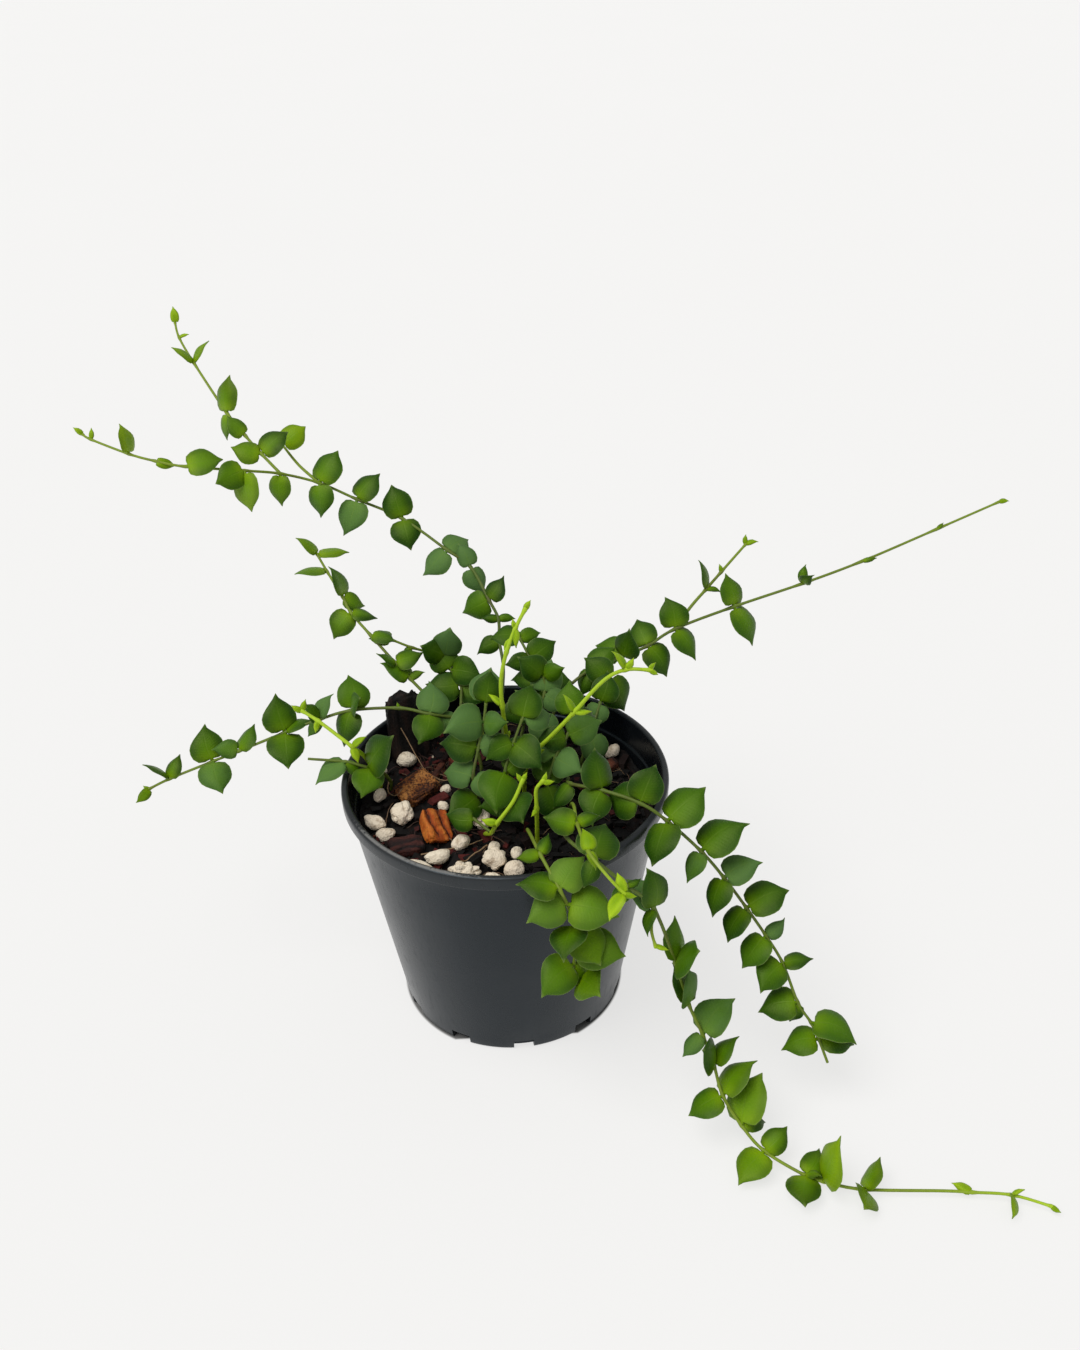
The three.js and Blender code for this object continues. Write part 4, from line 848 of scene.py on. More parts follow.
# Every vine: its stems, the first rising from the mix and the others from it, place by place. A place is its
# point and the leaves there: (way round the clock in degrees as the window sees it, length, turn, tilt).
VINES = {
    "upper_left_vine": [[
        ((0, 26, 78),),
        ((0, 34, 90),),
        ((1, 44, 98),),
        ((0, 52, 104), (20, 9, 30), (200, 9, 10)),
        ((0, 57, 110), (5, 6), (175, 6)),
        ((-3, 62, 115), (205, 11.5, 5), (50, 10, 30)),
        ((-9, 74, 122), (290, 11, 25), (110, 9.5, 0, 5)),
        ((-17, 78, 127), (30, 11.5, 25), (225, 12.5, 35)),
        ((-33, 93, 133), (105, 13, 0, 5), (280, 12.5, 0, 25)),
        ((-49, 96, 140), (45, 12.5, 40), (250, 14, 30)),
        ((-62, 98, 146), (55, 13.5, 35), (270, 12.5, 35)),
        ((-75, 96, 151), (260, 11.5, 40)),
        ((-86, 88, 156), (195, 11.5, 0, 25), (270, 14.5, 45)),
        ((-105, 84, 160), (5, 13, 40)),
        ((-115, 85, 162), (335, 7, 25)),
        ((-125, 90, 163), (90, 10.5, 55)),
        ((-140, 100, 165), (70, 4, 35)),
        ((-144, 105, 165), (130, 4)),
    ], [
        ((-75, 96, 151),),
        ((-83, 108, 154), (35, 12.5, 40), (165, 11, 35)),
        ((-90, 119, 157), (130, 9.5, 20)),
        ((-98, 132, 161), (85, 14, 50), (260, 10, 60)),
        ((-114, 162, 171), (135, 10, 70), (50, 10.5, 75)),
        ((-122, 179, 176), (20, 4, 55)),
        ((-125, 189, 179), (85, 6.5, 20)),
    ], [
        ((-62, 98, 146),),
        ((-70, 108, 149),),
        ((-77, 119, 153), (30, 11, 20)),
    ]],
    "short_left_vine": [[
        ((-12, 26, 78),),
        ((-18, 30, 87),),
        ((-26, 37, 93),),
        ((-31, 41, 97), (140, 11.5, 45), (30, 5.5)),
        ((-36, 44, 102), (10, 10.5, 40), (150, 8, 55)),
        ((-44, 51, 109), (350, 9, 45)),
        ((-51, 59, 114), (225, 11, 20), (340, 9.5, 55)),
        ((-54, 65, 117), (100, 11.5, 60), (325, 9.5, 30)),
        ((-60, 77, 121), (175, 11.5, 75)),
        ((-64, 85, 124), (130, 9.5, 60), (0, 11.5, 70)),
    ]],
    "far_left_sprig": [[
        ((-7, 32, 78),),
        ((-10, 40, 88),),
        ((-15, 49, 94),),
        ((-20, 53, 98), (80, 10.5, 35), (330, 9, 15)),
        ((-30, 50, 104), (195, 4)),
        ((-37, 51, 107), (165, 8.5, 25)),
    ]],
    "left_vine": [[
        ((-8, 16, 78),),
        ((-10, 18, 86),),
        ((-15, 22, 92), (190, 9.5)),
        ((-24, 20, 96), (75, 12.5, 0, 25), (255, 12, 0, 35)),
        ((-34, 23, 97), (110, 2)),
        ((-50, 26, 95), (80, 12.5, 0, 15), (60, 10, 65), (250, 12.5, 40)),
        ((-61, 26, 92), (65, 9.5, 45), (130, 9, 35), (230, 7)),
        ((-73, 25, 88), (100, 13.5, 10), (265, 14, 0, 35), (20, 10, 65)),
        ((-89, 24, 82), (50, 10.5, 50), (160, 9)),
        ((-98, 23, 79), (100, 13, 0, 5), (270, 13, 0, 35)),
        ((-113, 21, 74), (55, 9, 40), (135, 10, 80)),
        ((-120, 20, 71), (220, 6.5, 0, 20), (150, 2.5)),
    ]],
    "rim_shoot": [[
        ((-38, 11, 76),),
        ((-40, 8, 82),),
        ((-44, 4, 87), (60, 16, 45), (260, 12, 0, 20)),
        ((-51, 5, 89), (205, 12, 50), (305, 7.5, 35)),
        ((-62, 6, 90),),
    ]],
    "lime_left_shoot": [[
        ((-41.5, 10.5, 76),),
        ((-43.5, 10, 83),),
        ((-45.5, 7, 90),),
        ((-48, 3, 96), (35, 5.5, 35), (285, 5.5, 15)),
        ((-53, 6, 99),),
        ((-59, 10, 102), (250, 4)),
        ((-64, 13, 104), (150, 4), (70, 4)),
    ]],
    "upper_right_vine": [[
        ((15, 28, 78),),
        ((17, 29, 87),),
        ((21, 33, 94), (300, 9.5, 15)),
        ((31, 39, 99), (45, 11, 15), (250, 10, 20)),
        ((42, 43, 101), (150, 11.5, 0, 25), (95, 11.5, 20)),
        ((51, 46, 103), (310, 12.5, 35), (115, 11.5, 0, 25)),
        ((61, 50, 107), (100, 11.5, 5), (310, 13, 50)),
        ((82, 55, 112), (105, 12, 45), (305, 15, 55)),
        ((107, 59, 118), (100, 6.5), (60, 7.5)),
        ((129, 66, 122), (20, 5, 45)),
        ((159, 79, 127), (50, 3)),
        ((185, 91, 131), (20, 3.5)),
    ], [
        ((61, 50, 107),),
        ((67, 56, 112),),
        ((73, 61, 116), (100, 10.5, 75), (0, 5.5, 50)),
        ((79, 66, 120), (100, 3)),
        ((89, 75, 126), (100, 3.5), (35, 4.5, 35)),
    ]],
    "right_trailing_vine": [[
        ((20, 4, 76),),
        ((20, -4, 85),),
        ((20, -15, 91), (260, 9.5, 40)),
        ((29, -23, 94), (105, 13, 35), (245, 11.5, 0, 20)),
        ((40, -29, 93), (170, 13, 0, 35), (70, 12.5, 0, 15)),
        ((48, -32, 88), (45, 15.5, 30), (255, 14.5, 35)),
        ((58, -36, 79), (45, 16.5, 35), (250, 10.5, 45)),
        ((65, -38, 70), (35, 12.5, 30), (255, 12.5, 40)),
        ((72, -41, 60), (35, 14, 30), (240, 12, 40)),
        ((78, -44, 51), (40, 8), (240, 12.5, 30)),
        ((83, -48, 43), (15, 9.5, 45), (230, 12, 0, 25)),
        ((87, -55, 33), (195, 12.5, 20), (250, 9)),
        ((91, -58, 27), (355, 14.5, 45)),
        ((93, -61, 23), (200, 12, 30), (10, 11.5, 25)),
        ((95, -65, 18),),
    ]],
    "long_trailing_vine": [[
        ((13, -14, 76),),
        ((13, -24, 85),),
        ((15, -36, 91),),
        ((18, -47, 94),),
        ((24, -54, 93), (75, 14, 0, 35), (255, 8.5, 5)),
        ((33, -59, 87), (235, 8, 0, 25), (20, 4.5)),
        ((41, -58, 77), (130, 11.5, 40), (80, 12.5, 45), (250, 8, 45)),
        ((48, -58, 55), (90, 14, 60), (60, 14, 50)),
        ((52, -61, 41), (110, 13, 55), (80, 12.5, 65)),
        ((56, -65, 32), (60, 14.5, 35), (230, 9, 30)),
        ((59, -70, 24), (60, 11.5, 55), (100, 13, 65)),
        ((61, -76, 17.5), (60, 14.5, 50), (215, 12, 35)),
        ((66, -82, 11), (80, 16.5, 35), (30, 9.5, 10)),
        ((72, -88, 6.5), (235, 13, 25), (50, 10)),
        ((83, -95, 3.5), (60, 10, 0, 25), (270, 12, 0, 10), (10, 6, 45)),
        ((88, -97, 3), (75, 15.5, 50)),
        ((99, -100, 2.5), (70, 10.5, 55), (270, 11, 60)),
        ((122, -102, 2.5),),
        ((130, -103, 2.5), (170, 6, 25)),
        ((141, -105, 3), (45, 4, 55), (290, 8, 70)),
        ((151, -109, 2.5), (345, 3)),
    ], [
        ((41, -58, 77),),
        ((40, -61, 72),),
        ((41, -63, 67.5), (340, 4, 45)),
    ]],
    "front_hanging_vine": [[
        ((7, -20, 76),),
        ((6, -29, 85),),
        ((7, -39, 90),),
        ((9, -48, 91), (190, 7), (60, 7, 0, 20)),
        ((14, -58, 86), (165, 12.5, 40), (70, 12.5, 0, 35)),
        ((16, -57.5, 80), (195, 13, 0, 40), (348, 15.5, 15)),
        ((18, -56.5, 71), (305, 14, 15), (250, 13.5, 30)),
        ((19, -55, 63), (340, 15, 0, 15), (170, 7, 65)),
        ((18, -55, 54), (215, 14, 0, 20), (320, 12, 30)),
        ((20, -56, 49), (285, 13.5, 0, 40)),
    ]],
    "front_rim_sprig": [[
        ((20, -10, 76),),
        ((20, -20, 87),),
        ((20, -32, 95),),
        ((20, -45, 99), (25, 7), (170, 10)),
        ((22, -60, 101), (95, 7.5, 0, 25), (300, 5.5)),
        ((27, -68, 98),),
        ((31, -70, 94), (110, 6), (235, 8.5, 45), (340, 3.5)),
    ]],
    "lime_tall_shoot": [[
        ((0, 6, 78),),
        ((1, 5, 87),),
        ((1, 3, 97), (60, 2.5)),
        ((0, -1, 112), (140, 5.5, 45)),
        ((0, -2, 122),),
        ((2, -1, 131), (75, 5, 35)),
        ((5, 1, 138), (270, 6, 55), (110, 3)),
        ((8, 3, 143), (60, 3.5)),
    ]],
    "lime_leaning_shoot": [[
        ((6, 1, 78),),
        ((6.5, -2, 87),),
        ((9, -4, 95), (20, 4)),
        ((15, -5, 102.5),),
        ((22, -6, 111.5), (120, 6.5, 55), (0, 5.5, 50)),
        ((31, -4, 121),),
        ((38, -2, 123.5), (50, 4.5), (60, 7, 60)),
        ((45.5, -2, 123), (330, 3), (60, 3)),
    ]],
    "lime_front_shoot": [[
        ((-7, -19, 76),),
        ((-5, -26, 82),),
        ((-3, -29, 88), (170, 5)),
        ((2, -28, 95),),
        ((5, -26, 101), (130, 3), (60, 3)),
    ], [
        ((-5, -26, 82),),
        ((-10, -21, 83.5), (175, 9.5, 0, 15)),
    ]],
    "lime_curled_shoot": [[
        ((9, -24, 76),),
        ((9, -26, 84),),
        ((9, -28, 92), (240, 3)),
        ((9, -28, 99),),
        ((11, -28, 102), (350, 3.5), (60, 3)),
    ]],
    "crown_left_sprig": [[
        ((-9, -3, 78),),
        ((-9, -8, 83), (215, 12, 0, 25)),
        ((-10, -9, 91), (160, 12, 0, 35), (320, 10, 0, 5)),
        ((-8, -5, 99), (165, 13, 0, 35), (15, 10)),
        ((-6, -1, 106), (170, 14, 0, 30), (350, 10, 0, 5)),
        ((-5, 2, 111), (85, 12.5, 0, 20), (20, 11)),
    ]],
    "crown_front_sprig": [[
        ((1, -8, 78),),
        ((1, -12, 84), (305, 13.5, 0, 35), (200, 10, 0, 25)),
        ((0, -10, 93), (245, 15, 0, 15), (40, 10, 0, 10)),
        ((3, -6, 101), (320, 13, 0, 25), (200, 10, 0, 5)),
        ((6, -2, 107), (75, 12, 0, 10), (15, 12.5, 20)),
    ]],
    "crown_middle_sprig": [[
        ((7, 10, 78),),
        ((8, 12, 88), (200, 10, 20)),
        ((11, 16, 96), (300, 11.5, 0, 15), (120, 11)),
        ((14, 20, 102), (80, 12, 0, 10), (330, 10)),
        ((14, 23, 107), (140, 11), (35, 9)),
    ]],
    "crown_back_sprig": [[
        ((5, 24, 78),),
        ((7, 26, 86),),
        ((9, 29, 93), (40, 12, 0, 25), (215, 11, 0, 5)),
        ((12, 31, 100), (0, 12, 30), (165, 10, 0, 25)),
        ((10, 36, 106), (35, 11, 0, 10), (195, 9)),
        ((7, 41, 111), (20, 8), (170, 10.5, 35)),
    ]],
    "crown_right_sprig": [[
        ((13, 0, 78),),
        ((13, -8, 86), (80, 12, 0, 25), (285, 12.5, 30)),
        ((16, -5, 94), (150, 12, 0, 25), (330, 12)),
        ((20, -2, 100), (25, 12), (190, 10)),
        ((22, 2, 105), (100, 11), (345, 10)),
    ]],
    "crown_far_right_sprig": [[
        ((26, 16, 78),),
        ((29, 19, 86), (285, 11), (160, 10)),
        ((33, 27, 93), (250, 10), (70, 11)),
        ((36, 33, 98), (305, 13, 20), (130, 11)),
    ]],
    "crown_far_left_sprig": [[
        ((-15, 18, 78),),
        ((-15, 24, 86),),
        ((-14, 33, 91),),
        ((-14, 41, 94), (185, 12, 15), (330, 12, 0, 10)),
        ((-17, 44, 98), (120, 12, 0, 10), (350, 12, 0, 25)),
        ((-19, 47, 102), (75, 12), (150, 11)),
    ]],
}

# How young a vine's leaves are at its foot and at its tip: 0 old and dark, 1 lime
YOUTH = {
    "upper_left_vine": (0.15, 0.84),
    "short_left_vine": (0.36, 0.56),
    "far_left_sprig": (0.40, 0.45),
    "left_vine": (0.25, 0.50),
    "rim_shoot": (0.34, 0.34),
    "upper_right_vine": (0.26, 0.62),
    "right_trailing_vine": (0.27, 0.42),
    "long_trailing_vine": (0.20, 1.0),
    "front_hanging_vine": (0.42, 0.58),
    "front_rim_sprig": (0.35, 1.0),
    "lime": (1.0, 1.0),
    "crown": (0.16, 0.30),
}

RIPENING = 1.7  # how late along a vine the leaves turn young
NEWEST_LENGTH = 2
OPEN_LENGTH = 8  # from which on a leaf is no younger than its place
NEWEST_YOUTH = 0.22  # how much younger than its place the newest leaf is
BIG_LENGTH = 9  # from which on even the leaves of a lime shoot are green
BIG_YOUTH = 0.3
WINDOW = np.array([0.0, -338.0, 332.0])  # where the leaves look
ROOT_LEVEL = 66.0
ROOT_RISE = 8
STEM_STEPS = 6  # points from one place on a stem to the next
STEM_AROUND = 8
KNOT_REACH = 0.8
TIP_BUD = 1.0
NECK = 0.07  # where the stalk ends and the blade starts, as a share of the leaf
WIDEST = 0.385
DOME = 0.06
DOME_PLACE = 0.45
TIP_DROP = 0.08
BLADE = 0.8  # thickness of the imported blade
SMALL_LENGTH = 11
BUD_LENGTH = 5.5

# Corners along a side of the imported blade, by its size: share of the length, share of the half width
GROWN_SIDE = ((0.76, 0.47), (0.47, 1), (0.2, 0.76))
SMALL_SIDE = ((0.6, 0.8), (0.24, 0.76))
BUD_SIDE = ((0.4, 1),)

# A leaf may be bent from its place in the table by a clock angle and a nod, so that it stands clear. The
# slightest bends come first.
BENDS = sorted(
    ((clock, nod) for clock in (0, 12, -12, 25, -25, 40, -40, 60, -60) for nod in (0, -20, 20, -40, 40, 60)),
    key=lambda bend: abs(bend[0]) + 0.6 * abs(bend[1]))
FOUND_WITHIN = 0.06  # from a corner of the blade to one of the solid
FOUND_SHARE = 0.45  # of the corners that have to be found


def blade_half(length):
    """Half the width of a blade, which is broader for its length the longer it is."""
    return length * np.clip(0.5 + (length - 6) * 0.068, 0.5, 0.86) / 2


def leaf_axes(place, leaf, bend):
    """Across, face and way of a leaf. Its way lies at its clock angle as the window sees it and nods to the
    window or from it; its face looks at the window, rolled about the way towards the sky."""
    clock, _, turn, tilt = (*leaf, 0, 0)[:4]
    light = unit(WINDOW - place)
    right = unit(np.cross(Z, light))
    up = np.cross(light, right)
    angle = np.radians(clock + bend[0])
    sky = -1 if np.sin(angle) > 0 else 1
    nod = np.radians(sky * tilt + bend[1])
    flat = right * np.cos(angle) + up * np.sin(angle)
    way = flat * np.cos(nod) + light * np.sin(nod)
    face = light * np.cos(nod) - flat * np.sin(nod)
    rolled = [turned_about(face, way, np.radians(roll)) for roll in (turn, -turn)]
    face = rolled[1] if rolled[1][2] > rolled[0][2] + 1e-6 else rolled[0]
    return np.stack([np.cross(face, way), face, way])


def packed_corners(length):
    """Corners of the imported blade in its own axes, without its root."""
    side = GROWN_SIDE if length >= SMALL_LENGTH else SMALL_SIDE
    if length < BUD_LENGTH:
        side = BUD_SIDE
    half = blade_half(length)
    corners = [(0, -TIP_DROP * length, length), (0, DOME * length, DOME_PLACE * length)]
    for along, across in side:
        corners += [(across * half, 0, along * length), (-across * half, 0, along * length)]
    corners = np.array(corners, float)
    return np.concatenate([corners + [0, BLADE / 2, 0], corners - [0, BLADE / 2, 0]])


def found_axes(place, leaf, solid):
    """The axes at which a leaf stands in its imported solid: those of the bend whose corners are most often
    among the solid's own, or None where too few are."""
    corners = packed_corners(leaf[1])
    best = (FOUND_SHARE * len(corners), None)
    for bend in BENDS:
        axes = leaf_axes(place, leaf, bend)
        gaps = np.linalg.norm((place + corners @ axes)[:, None] - solid[None], axis=2).min(axis=1)
        hits = np.count_nonzero(gaps < FOUND_WITHIN)
        if hits > best[0]:
            best = (hits, axes)
    return best[1]


# Where the points of a leaf's section lie across it, from one margin over its face to the other and back
# underneath, and where its rings lie from the end of the stalk to the tip
OVER = np.array([1, 0.82, 0.4, 0, -0.4, -0.82, -1])
UNDER = np.array([-0.6, 0, 0.6])
RINGS = np.array([0, 0.02, 0.075, 0.18, 0.31, 0.44, 0.56, 0.67, 0.77, 0.87, 1])
BUD_RINGS = np.array([0, 0.08, 0.3, 0.6, 0.85, 1])


def leaf_part(place, axes, length, youth, seed, plant):
    """A fleshy heart on a short stalk, as a tube of lens-shaped rings. Half its width is (1 - q^2.8)^0.5
    from the neck, where q is 1, to the widest place, where q is 0. Beyond, it is 1 - f + 0.21 (1 - p)^0.8 f,
    where f is a smooth step of p, which is 1 at the tip. The lobes are drawn back, the middle domed, the
    midrib sunk, the halves folded, the margin waved, the blade swept to a side and the tip bent down, each a
    little differently on every leaf."""
    vary = np.random.default_rng(seed).random(8)
    u = np.concatenate([OVER, UNDER])
    side = np.sign(np.arange(len(u)) - len(OVER) + 0.5) * -1
    rise = side * np.sqrt(1 - u ** 2)
    t = (BUD_RINGS if length < BUD_LENGTH else RINGS)[:, None]
    s = np.concatenate([[[0.0]], NECK + (1 - NECK) * t])
    t = np.concatenate([[[0.0]], t])
    stalk = 0.36 + 0.018 * length
    widest = WIDEST + 0.06 * (vary[0] - 0.5)
    base = np.sqrt(np.clip(1 - (np.clip(widest - s, 0, None) / (widest - NECK)) ** 2.8, 0, 1))
    past = np.clip((s - widest) / (1 - widest), 0, 1)
    fall = smooth_step(past ** (1.14 + 0.44 * vary[1]))
    taper = 1 - fall + 0.21 * (1 - past) ** 0.8 * fall
    share = np.where(s < widest, base, taper)
    half = blade_half(length) * (0.98 + 0.08 * vary[2])
    width = np.sqrt((half * share) ** 2 + (stalk * (1 - s) + 0.05) ** 2)
    thick = plant.leaf_thickness / MM * (0.85 + 0.02 * length) / 2
    body = thick + (stalk - thick) * np.clip(1 - (s - NECK) / 0.12, 0, 1)
    body = body * (1 - 0.72 * s ** 3)
    swell = np.sin(np.pi * t ** 0.85)
    dome = DOME * (0.55 + 0.9 * vary[3]) * length * (1 - u ** 2) * swell
    groove = 0.014 * length * (u == 0) * swell * (side > 0)
    wave = 0.020 * length * np.sin(2.4 * np.pi * s + 6.28 * vary[4] + (u > 0) * 2.0) * u ** 2 * swell
    fold = 0.07 * length * (2 * vary[7] - 1) * np.abs(u) * swell
    drop = TIP_DROP * length * s ** 4
    q = np.clip((s - NECK) / 0.055, 0, None)
    back = 0.060 * length * np.abs(u) ** 1.4 * q * np.exp(1 - q)
    lean = 2 * (vary[5] - 0.5)
    sweep = length * lean * (0.11 * s ** 2 + 0.09 * s ** 6 - 0.05 * np.sin(np.pi * s))
    points = np.stack(np.broadcast_arrays(
        u * width + sweep, rise * body + dome - groove + wave + fold - drop, s * length - back), axis=-1)
    uv = np.stack(np.broadcast_arrays(u * 0.5 + 0.5, s), axis=-1)
    under = np.broadcast_to(side < 0, points.shape[:2])
    faces = ring_faces(len(s), len(u))
    marks = {"youth": youth, "tone": vary[6], "draw": (7 * vary[6]) % 1, "under": under}
    return part(place + points @ axes, faces, uv, 1, **marks)


def stem_parts(name, vine, plant):
    """The stems of a vine, tubes along smooth paths: thicker where leaves stand, thinner towards the tip."""
    radius = (plant.shoot_radius if name.startswith("lime") else plant.stem_radius) / MM
    low, high = youth_of(name)
    parts = []
    for i, places in enumerate(vine):
        points = [np.array(point, float) for point, *_ in places]
        points.append(points[-1] + TIP_BUD * unit(points[-1] - points[-2]))
        first = 0
        if i == 0:
            foot = [[*points[0][:2], ROOT_LEVEL], [*points[0][:2], ROOT_LEVEL + ROOT_RISE]]
            points = foot + points
            first = 2
        path = smooth_path(points, STEM_STEPS)
        reach = path_reach(path)
        leafy = np.array([k for k, one in enumerate(places) if len(one) > 1], int)
        joints = reach[STEM_STEPS * (first + leafy)]
        knots = np.exp(-((reach[:, None] - joints[None]) / KNOT_REACH) ** 2).sum(axis=1)
        share = reach / reach[-1]
        girth = radius * (1 - 0.28 * share) * (1 + 0.45 * np.clip(knots, 0, 1))
        girth[-3:] *= [0.92, 0.7, 0.3]
        start = first_age(i, low, high)
        age = start + (high - start) * share ** RIPENING
        if i and low == 1:
            girth, age = girth * 0.7, 0.3
        marks = {"youth": age, "tone": 0.5, "draw": 0.5, "under": 0}
        parts.append(tube(path, girth, STEM_AROUND, reach[-1], **marks))
    return parts


def youth_of(name):
    return YOUTH.get(name) or YOUTH[name.split("_")[0]]


def first_age(stem, low, high):
    """A branch is as young at its foot as the middle of its vine."""
    return low if stem == 0 else (low + high) / 2


def vine_parts(name, plant):
    """Stems and leaves of one vine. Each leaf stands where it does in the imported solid."""
    vine = VINES[name]
    solid = solid_points(name)
    low, high = youth_of(name)
    parts = stem_parts(name, vine, plant)
    for i, places in enumerate(vine):
        start = first_age(i, low, high)
        for k, (point, *leaves) in enumerate(places):
            place = np.array(point, float)
            for leaf in leaves:
                axes = found_axes(place, leaf, solid)
                seed = int(abs(place[0]) * 31 + abs(place[1]) * 17 + abs(place[2]) * 7 + leaf[0] * 3)
                new = np.clip((OPEN_LENGTH - leaf[1]) / (OPEN_LENGTH - NEWEST_LENGTH), 0, 1)
                grown = BIG_YOUTH if leaf[1] > BIG_LENGTH and low == 1 else start
                share = (k / (len(places) - 1)) ** RIPENING
                youth = np.clip(grown + (high - start) * share + NEWEST_YOUTH * new, 0, 1)
                if axes is not None:
                    parts.append(leaf_part(place, axes, leaf[1], youth, seed, plant))
    return parts


def leaf_finish(plant):
    """Fleshy leaf: green by its age, darker on some leaves and dusty pale on a few with painted sheen,
    yellower towards the stalk, with painted light in its middle. It has a faint pale midrib, fainter side
    veins in V's, fine pale dots, a darker border that is partly painted shade, a thin pale margin that is
    partly a painted highlight, a pale tip, and a paler underside."""
    f = Finish("fleshy_leaf")
    across, along = f.surface()
    youth = f.mark("youth")
    tone = f.mark("tone")
    draw = f.mark("draw")
    under = f.mark("under")
    off = abs(across * 2 - 1)
    mottle = f.speckle(0.0045, 4, 0.6)
    blotch = f.speckle(0.014, 2, 0.5)
    fine = f.speckle(0.00045, 3, 0.6)
    dots = f.cells(0.0007)
    age = youth + (tone - 0.5) * 0.26
    green = f.blend(age.ramp(0.06, 0.40), plant.old_green, plant.grown_green)
    green = f.blend(age.ramp(0.38, 0.80), green, plant.young_green)
    green = f.blend(age.ramp(0.80, 1.0), green, plant.lime)
    grown = 1 - youth.ramp(0.6, 1.0)
    dusky = (draw + mottle * 0.3).ramp(0.70, 0.25) * grown
    green = f.blend(dusky * 0.70, green, (0.004, 0.030, 0.001))
    # Painted light: the middle of the blade, most of all towards the stalk, is painted a bright saturated
    # green.
    painted_glow = off.ramp(0.85, 0.10) * along.ramp(0.95, 0.30)
    green = f.blend(painted_glow * (0.26 + 0.36 * youth.ramp(0.2, 0.6)), green, (0.125, 0.275, 0.0005))
    heel = along.ramp(0.42, 0.05)
    green = f.blend(heel * (0.12 + 0.45 * youth.ramp(0.2, 0.7)), green, (0.26, 0.41, 0.001))
    # A few leaves dusty pale; their cool grey-green is partly painted sheen.
    bloom_and_sheen = (draw + blotch * 0.20 + mottle * 0.15).ramp(0.82, 0.98) * (1 - youth.ramp(0.30, 0.60))
    green = f.blend(bloom_and_sheen * 0.72, green, (0.095, 0.190, 0.060))
    midrib = off.ramp(0.07, 0.0) * along.ramp(0.95, 0.35)
    green = f.blend(midrib * 0.22, green, (0.15, 0.24, 0.03))
    sweep = (along - off * 0.16) * 15.0
    middle = abs(sweep.math("FRACT", sweep) - 0.5)
    vein = middle.ramp(0.13, 0.0) * off.ramp(0.05, 0.2) * off.ramp(0.95, 0.6)
    green = f.blend(vein * 0.07, green, (0.15, 0.24, 0.03))
    # Darker towards the border: the leaf's own darker edge, and painted shade where the dome turns away.
    rim_tint_and_shade = off.ramp(0.50, 0.95)
    green = f.blend(rim_tint_and_shade * 0.34, green, (0.020, 0.060, 0.014))
    # Thin pale margin: the leaf's own pale edge, and a painted highlight along it.
    margin = off.ramp(0.95, 1.0)
    green = f.blend(margin * 0.45, green, (0.19, 0.25, 0.085))
    tip = along.ramp(0.90, 1.0)
    green = f.blend(tip * 0.45, green, (0.22, 0.28, 0.075))
    green = f.blend(dots.ramp(0.28, 0.10) * 0.12, green, (0.15, 0.23, 0.05))
    green = f.blend(under * 0.60, green, (0.100, 0.195, 0.065))
    roughness = 0.34 + mottle * 0.14 + under * 0.2 + bloom_and_sheen * 0.18 + fine * 0.06
    height = fine * 0.22 + mottle * 0.6 + (1 - vein) * 0.12 + (1 - midrib) * 0.15
    return f.finished(
        green, roughness, height, 0.00026, Specular_IOR_Level=0.26, Specular_Tint=(0.86, 1.0, 0.42, 1.0),
        Subsurface_Weight=0.08, Subsurface_Radius=(0.0012, 0.0016, 0.0004), Subsurface_Scale=1.0)


def stem_finish(plant):
    """Stem: yellow-green and brown in patches, browner when old, with fine lengthwise streaks."""
    f = Finish("vine_stem")
    youth = f.mark("youth")
    patches = f.speckle(0.0055, 4, 0.6)
    streaks = f.speckle(0.0012, 3, 0.6)
    green = f.blend(youth.ramp(0.15, 0.65), (0.070, 0.110, 0.014), (0.20, 0.29, 0.016))
    green = f.blend(youth.ramp(0.8, 1.0), green, plant.lime)
    brown = patches.ramp(0.48, 0.70) * (1 - youth * 0.95) * 0.65
    green = f.blend(brown, green, (0.075, 0.050, 0.018))
    green = f.blend(streaks.ramp(0.5, 0.7) * 0.25, green, (0.20, 0.22, 0.05))
    height = streaks * 0.6 + patches * 0.4
    return f.finished(green, 0.50 + streaks * 0.15, height, 0.0002, Specular_IOR_Level=0.35)


# The camera and the light

EYE = (0.0, -0.3384, 0.3320)
AZIMUTH = -2.03
ELEVATION = 31.84
ROLL = -1.46
LENS = 34.67
FILM_HEIGHT = 36
FLOOR_REACH = 6.0
FLOOR_DROP = 0.0002  # how far the floor lies under the foot
FLOOR_GLOW = 0.70
DARK_UNDER_POT = 0.0375  # radius of the place that doesn't glow
GLOW_IN_FRONT = 0.0315  # how far before the middle the floor glows again
GLOW_EDGE = 0.001
KEY_FROM = (-0.45, -0.30, 1.0)
KEY_SPREAD = 45.0


def aim_camera():
    """The back of the camera is b = (sin a cos e, -cos a cos e, sin e), its right (cos a, sin a, 0) and its
    up b x right; right and up are then turned about b by the roll."""
    a, e, roll = (math.radians(angle) for angle in (AZIMUTH, ELEVATION, ROLL))
    back = np.array([math.sin(a) * math.cos(e), -math.cos(a) * math.cos(e), math.sin(e)])
    level = np.array([math.cos(a), math.sin(a), 0])
    up = np.cross(back, level)
    right = math.cos(roll) * level + math.sin(roll) * up
    up = math.cos(roll) * up - math.sin(roll) * level
    data = bpy.data.cameras.new("camera")
    data.sensor_fit = "VERTICAL"
    data.sensor_height = FILM_HEIGHT
    data.lens = LENS
    camera = bpy.data.objects.new("camera", data)
    stand = np.eye(4)
    stand[:3] = np.stack([right, up, back, EYE], axis=1)
    camera.matrix_world = Matrix(stand.tolist())
    bpy.context.scene.collection.objects.link(camera)
    bpy.context.scene.camera = camera


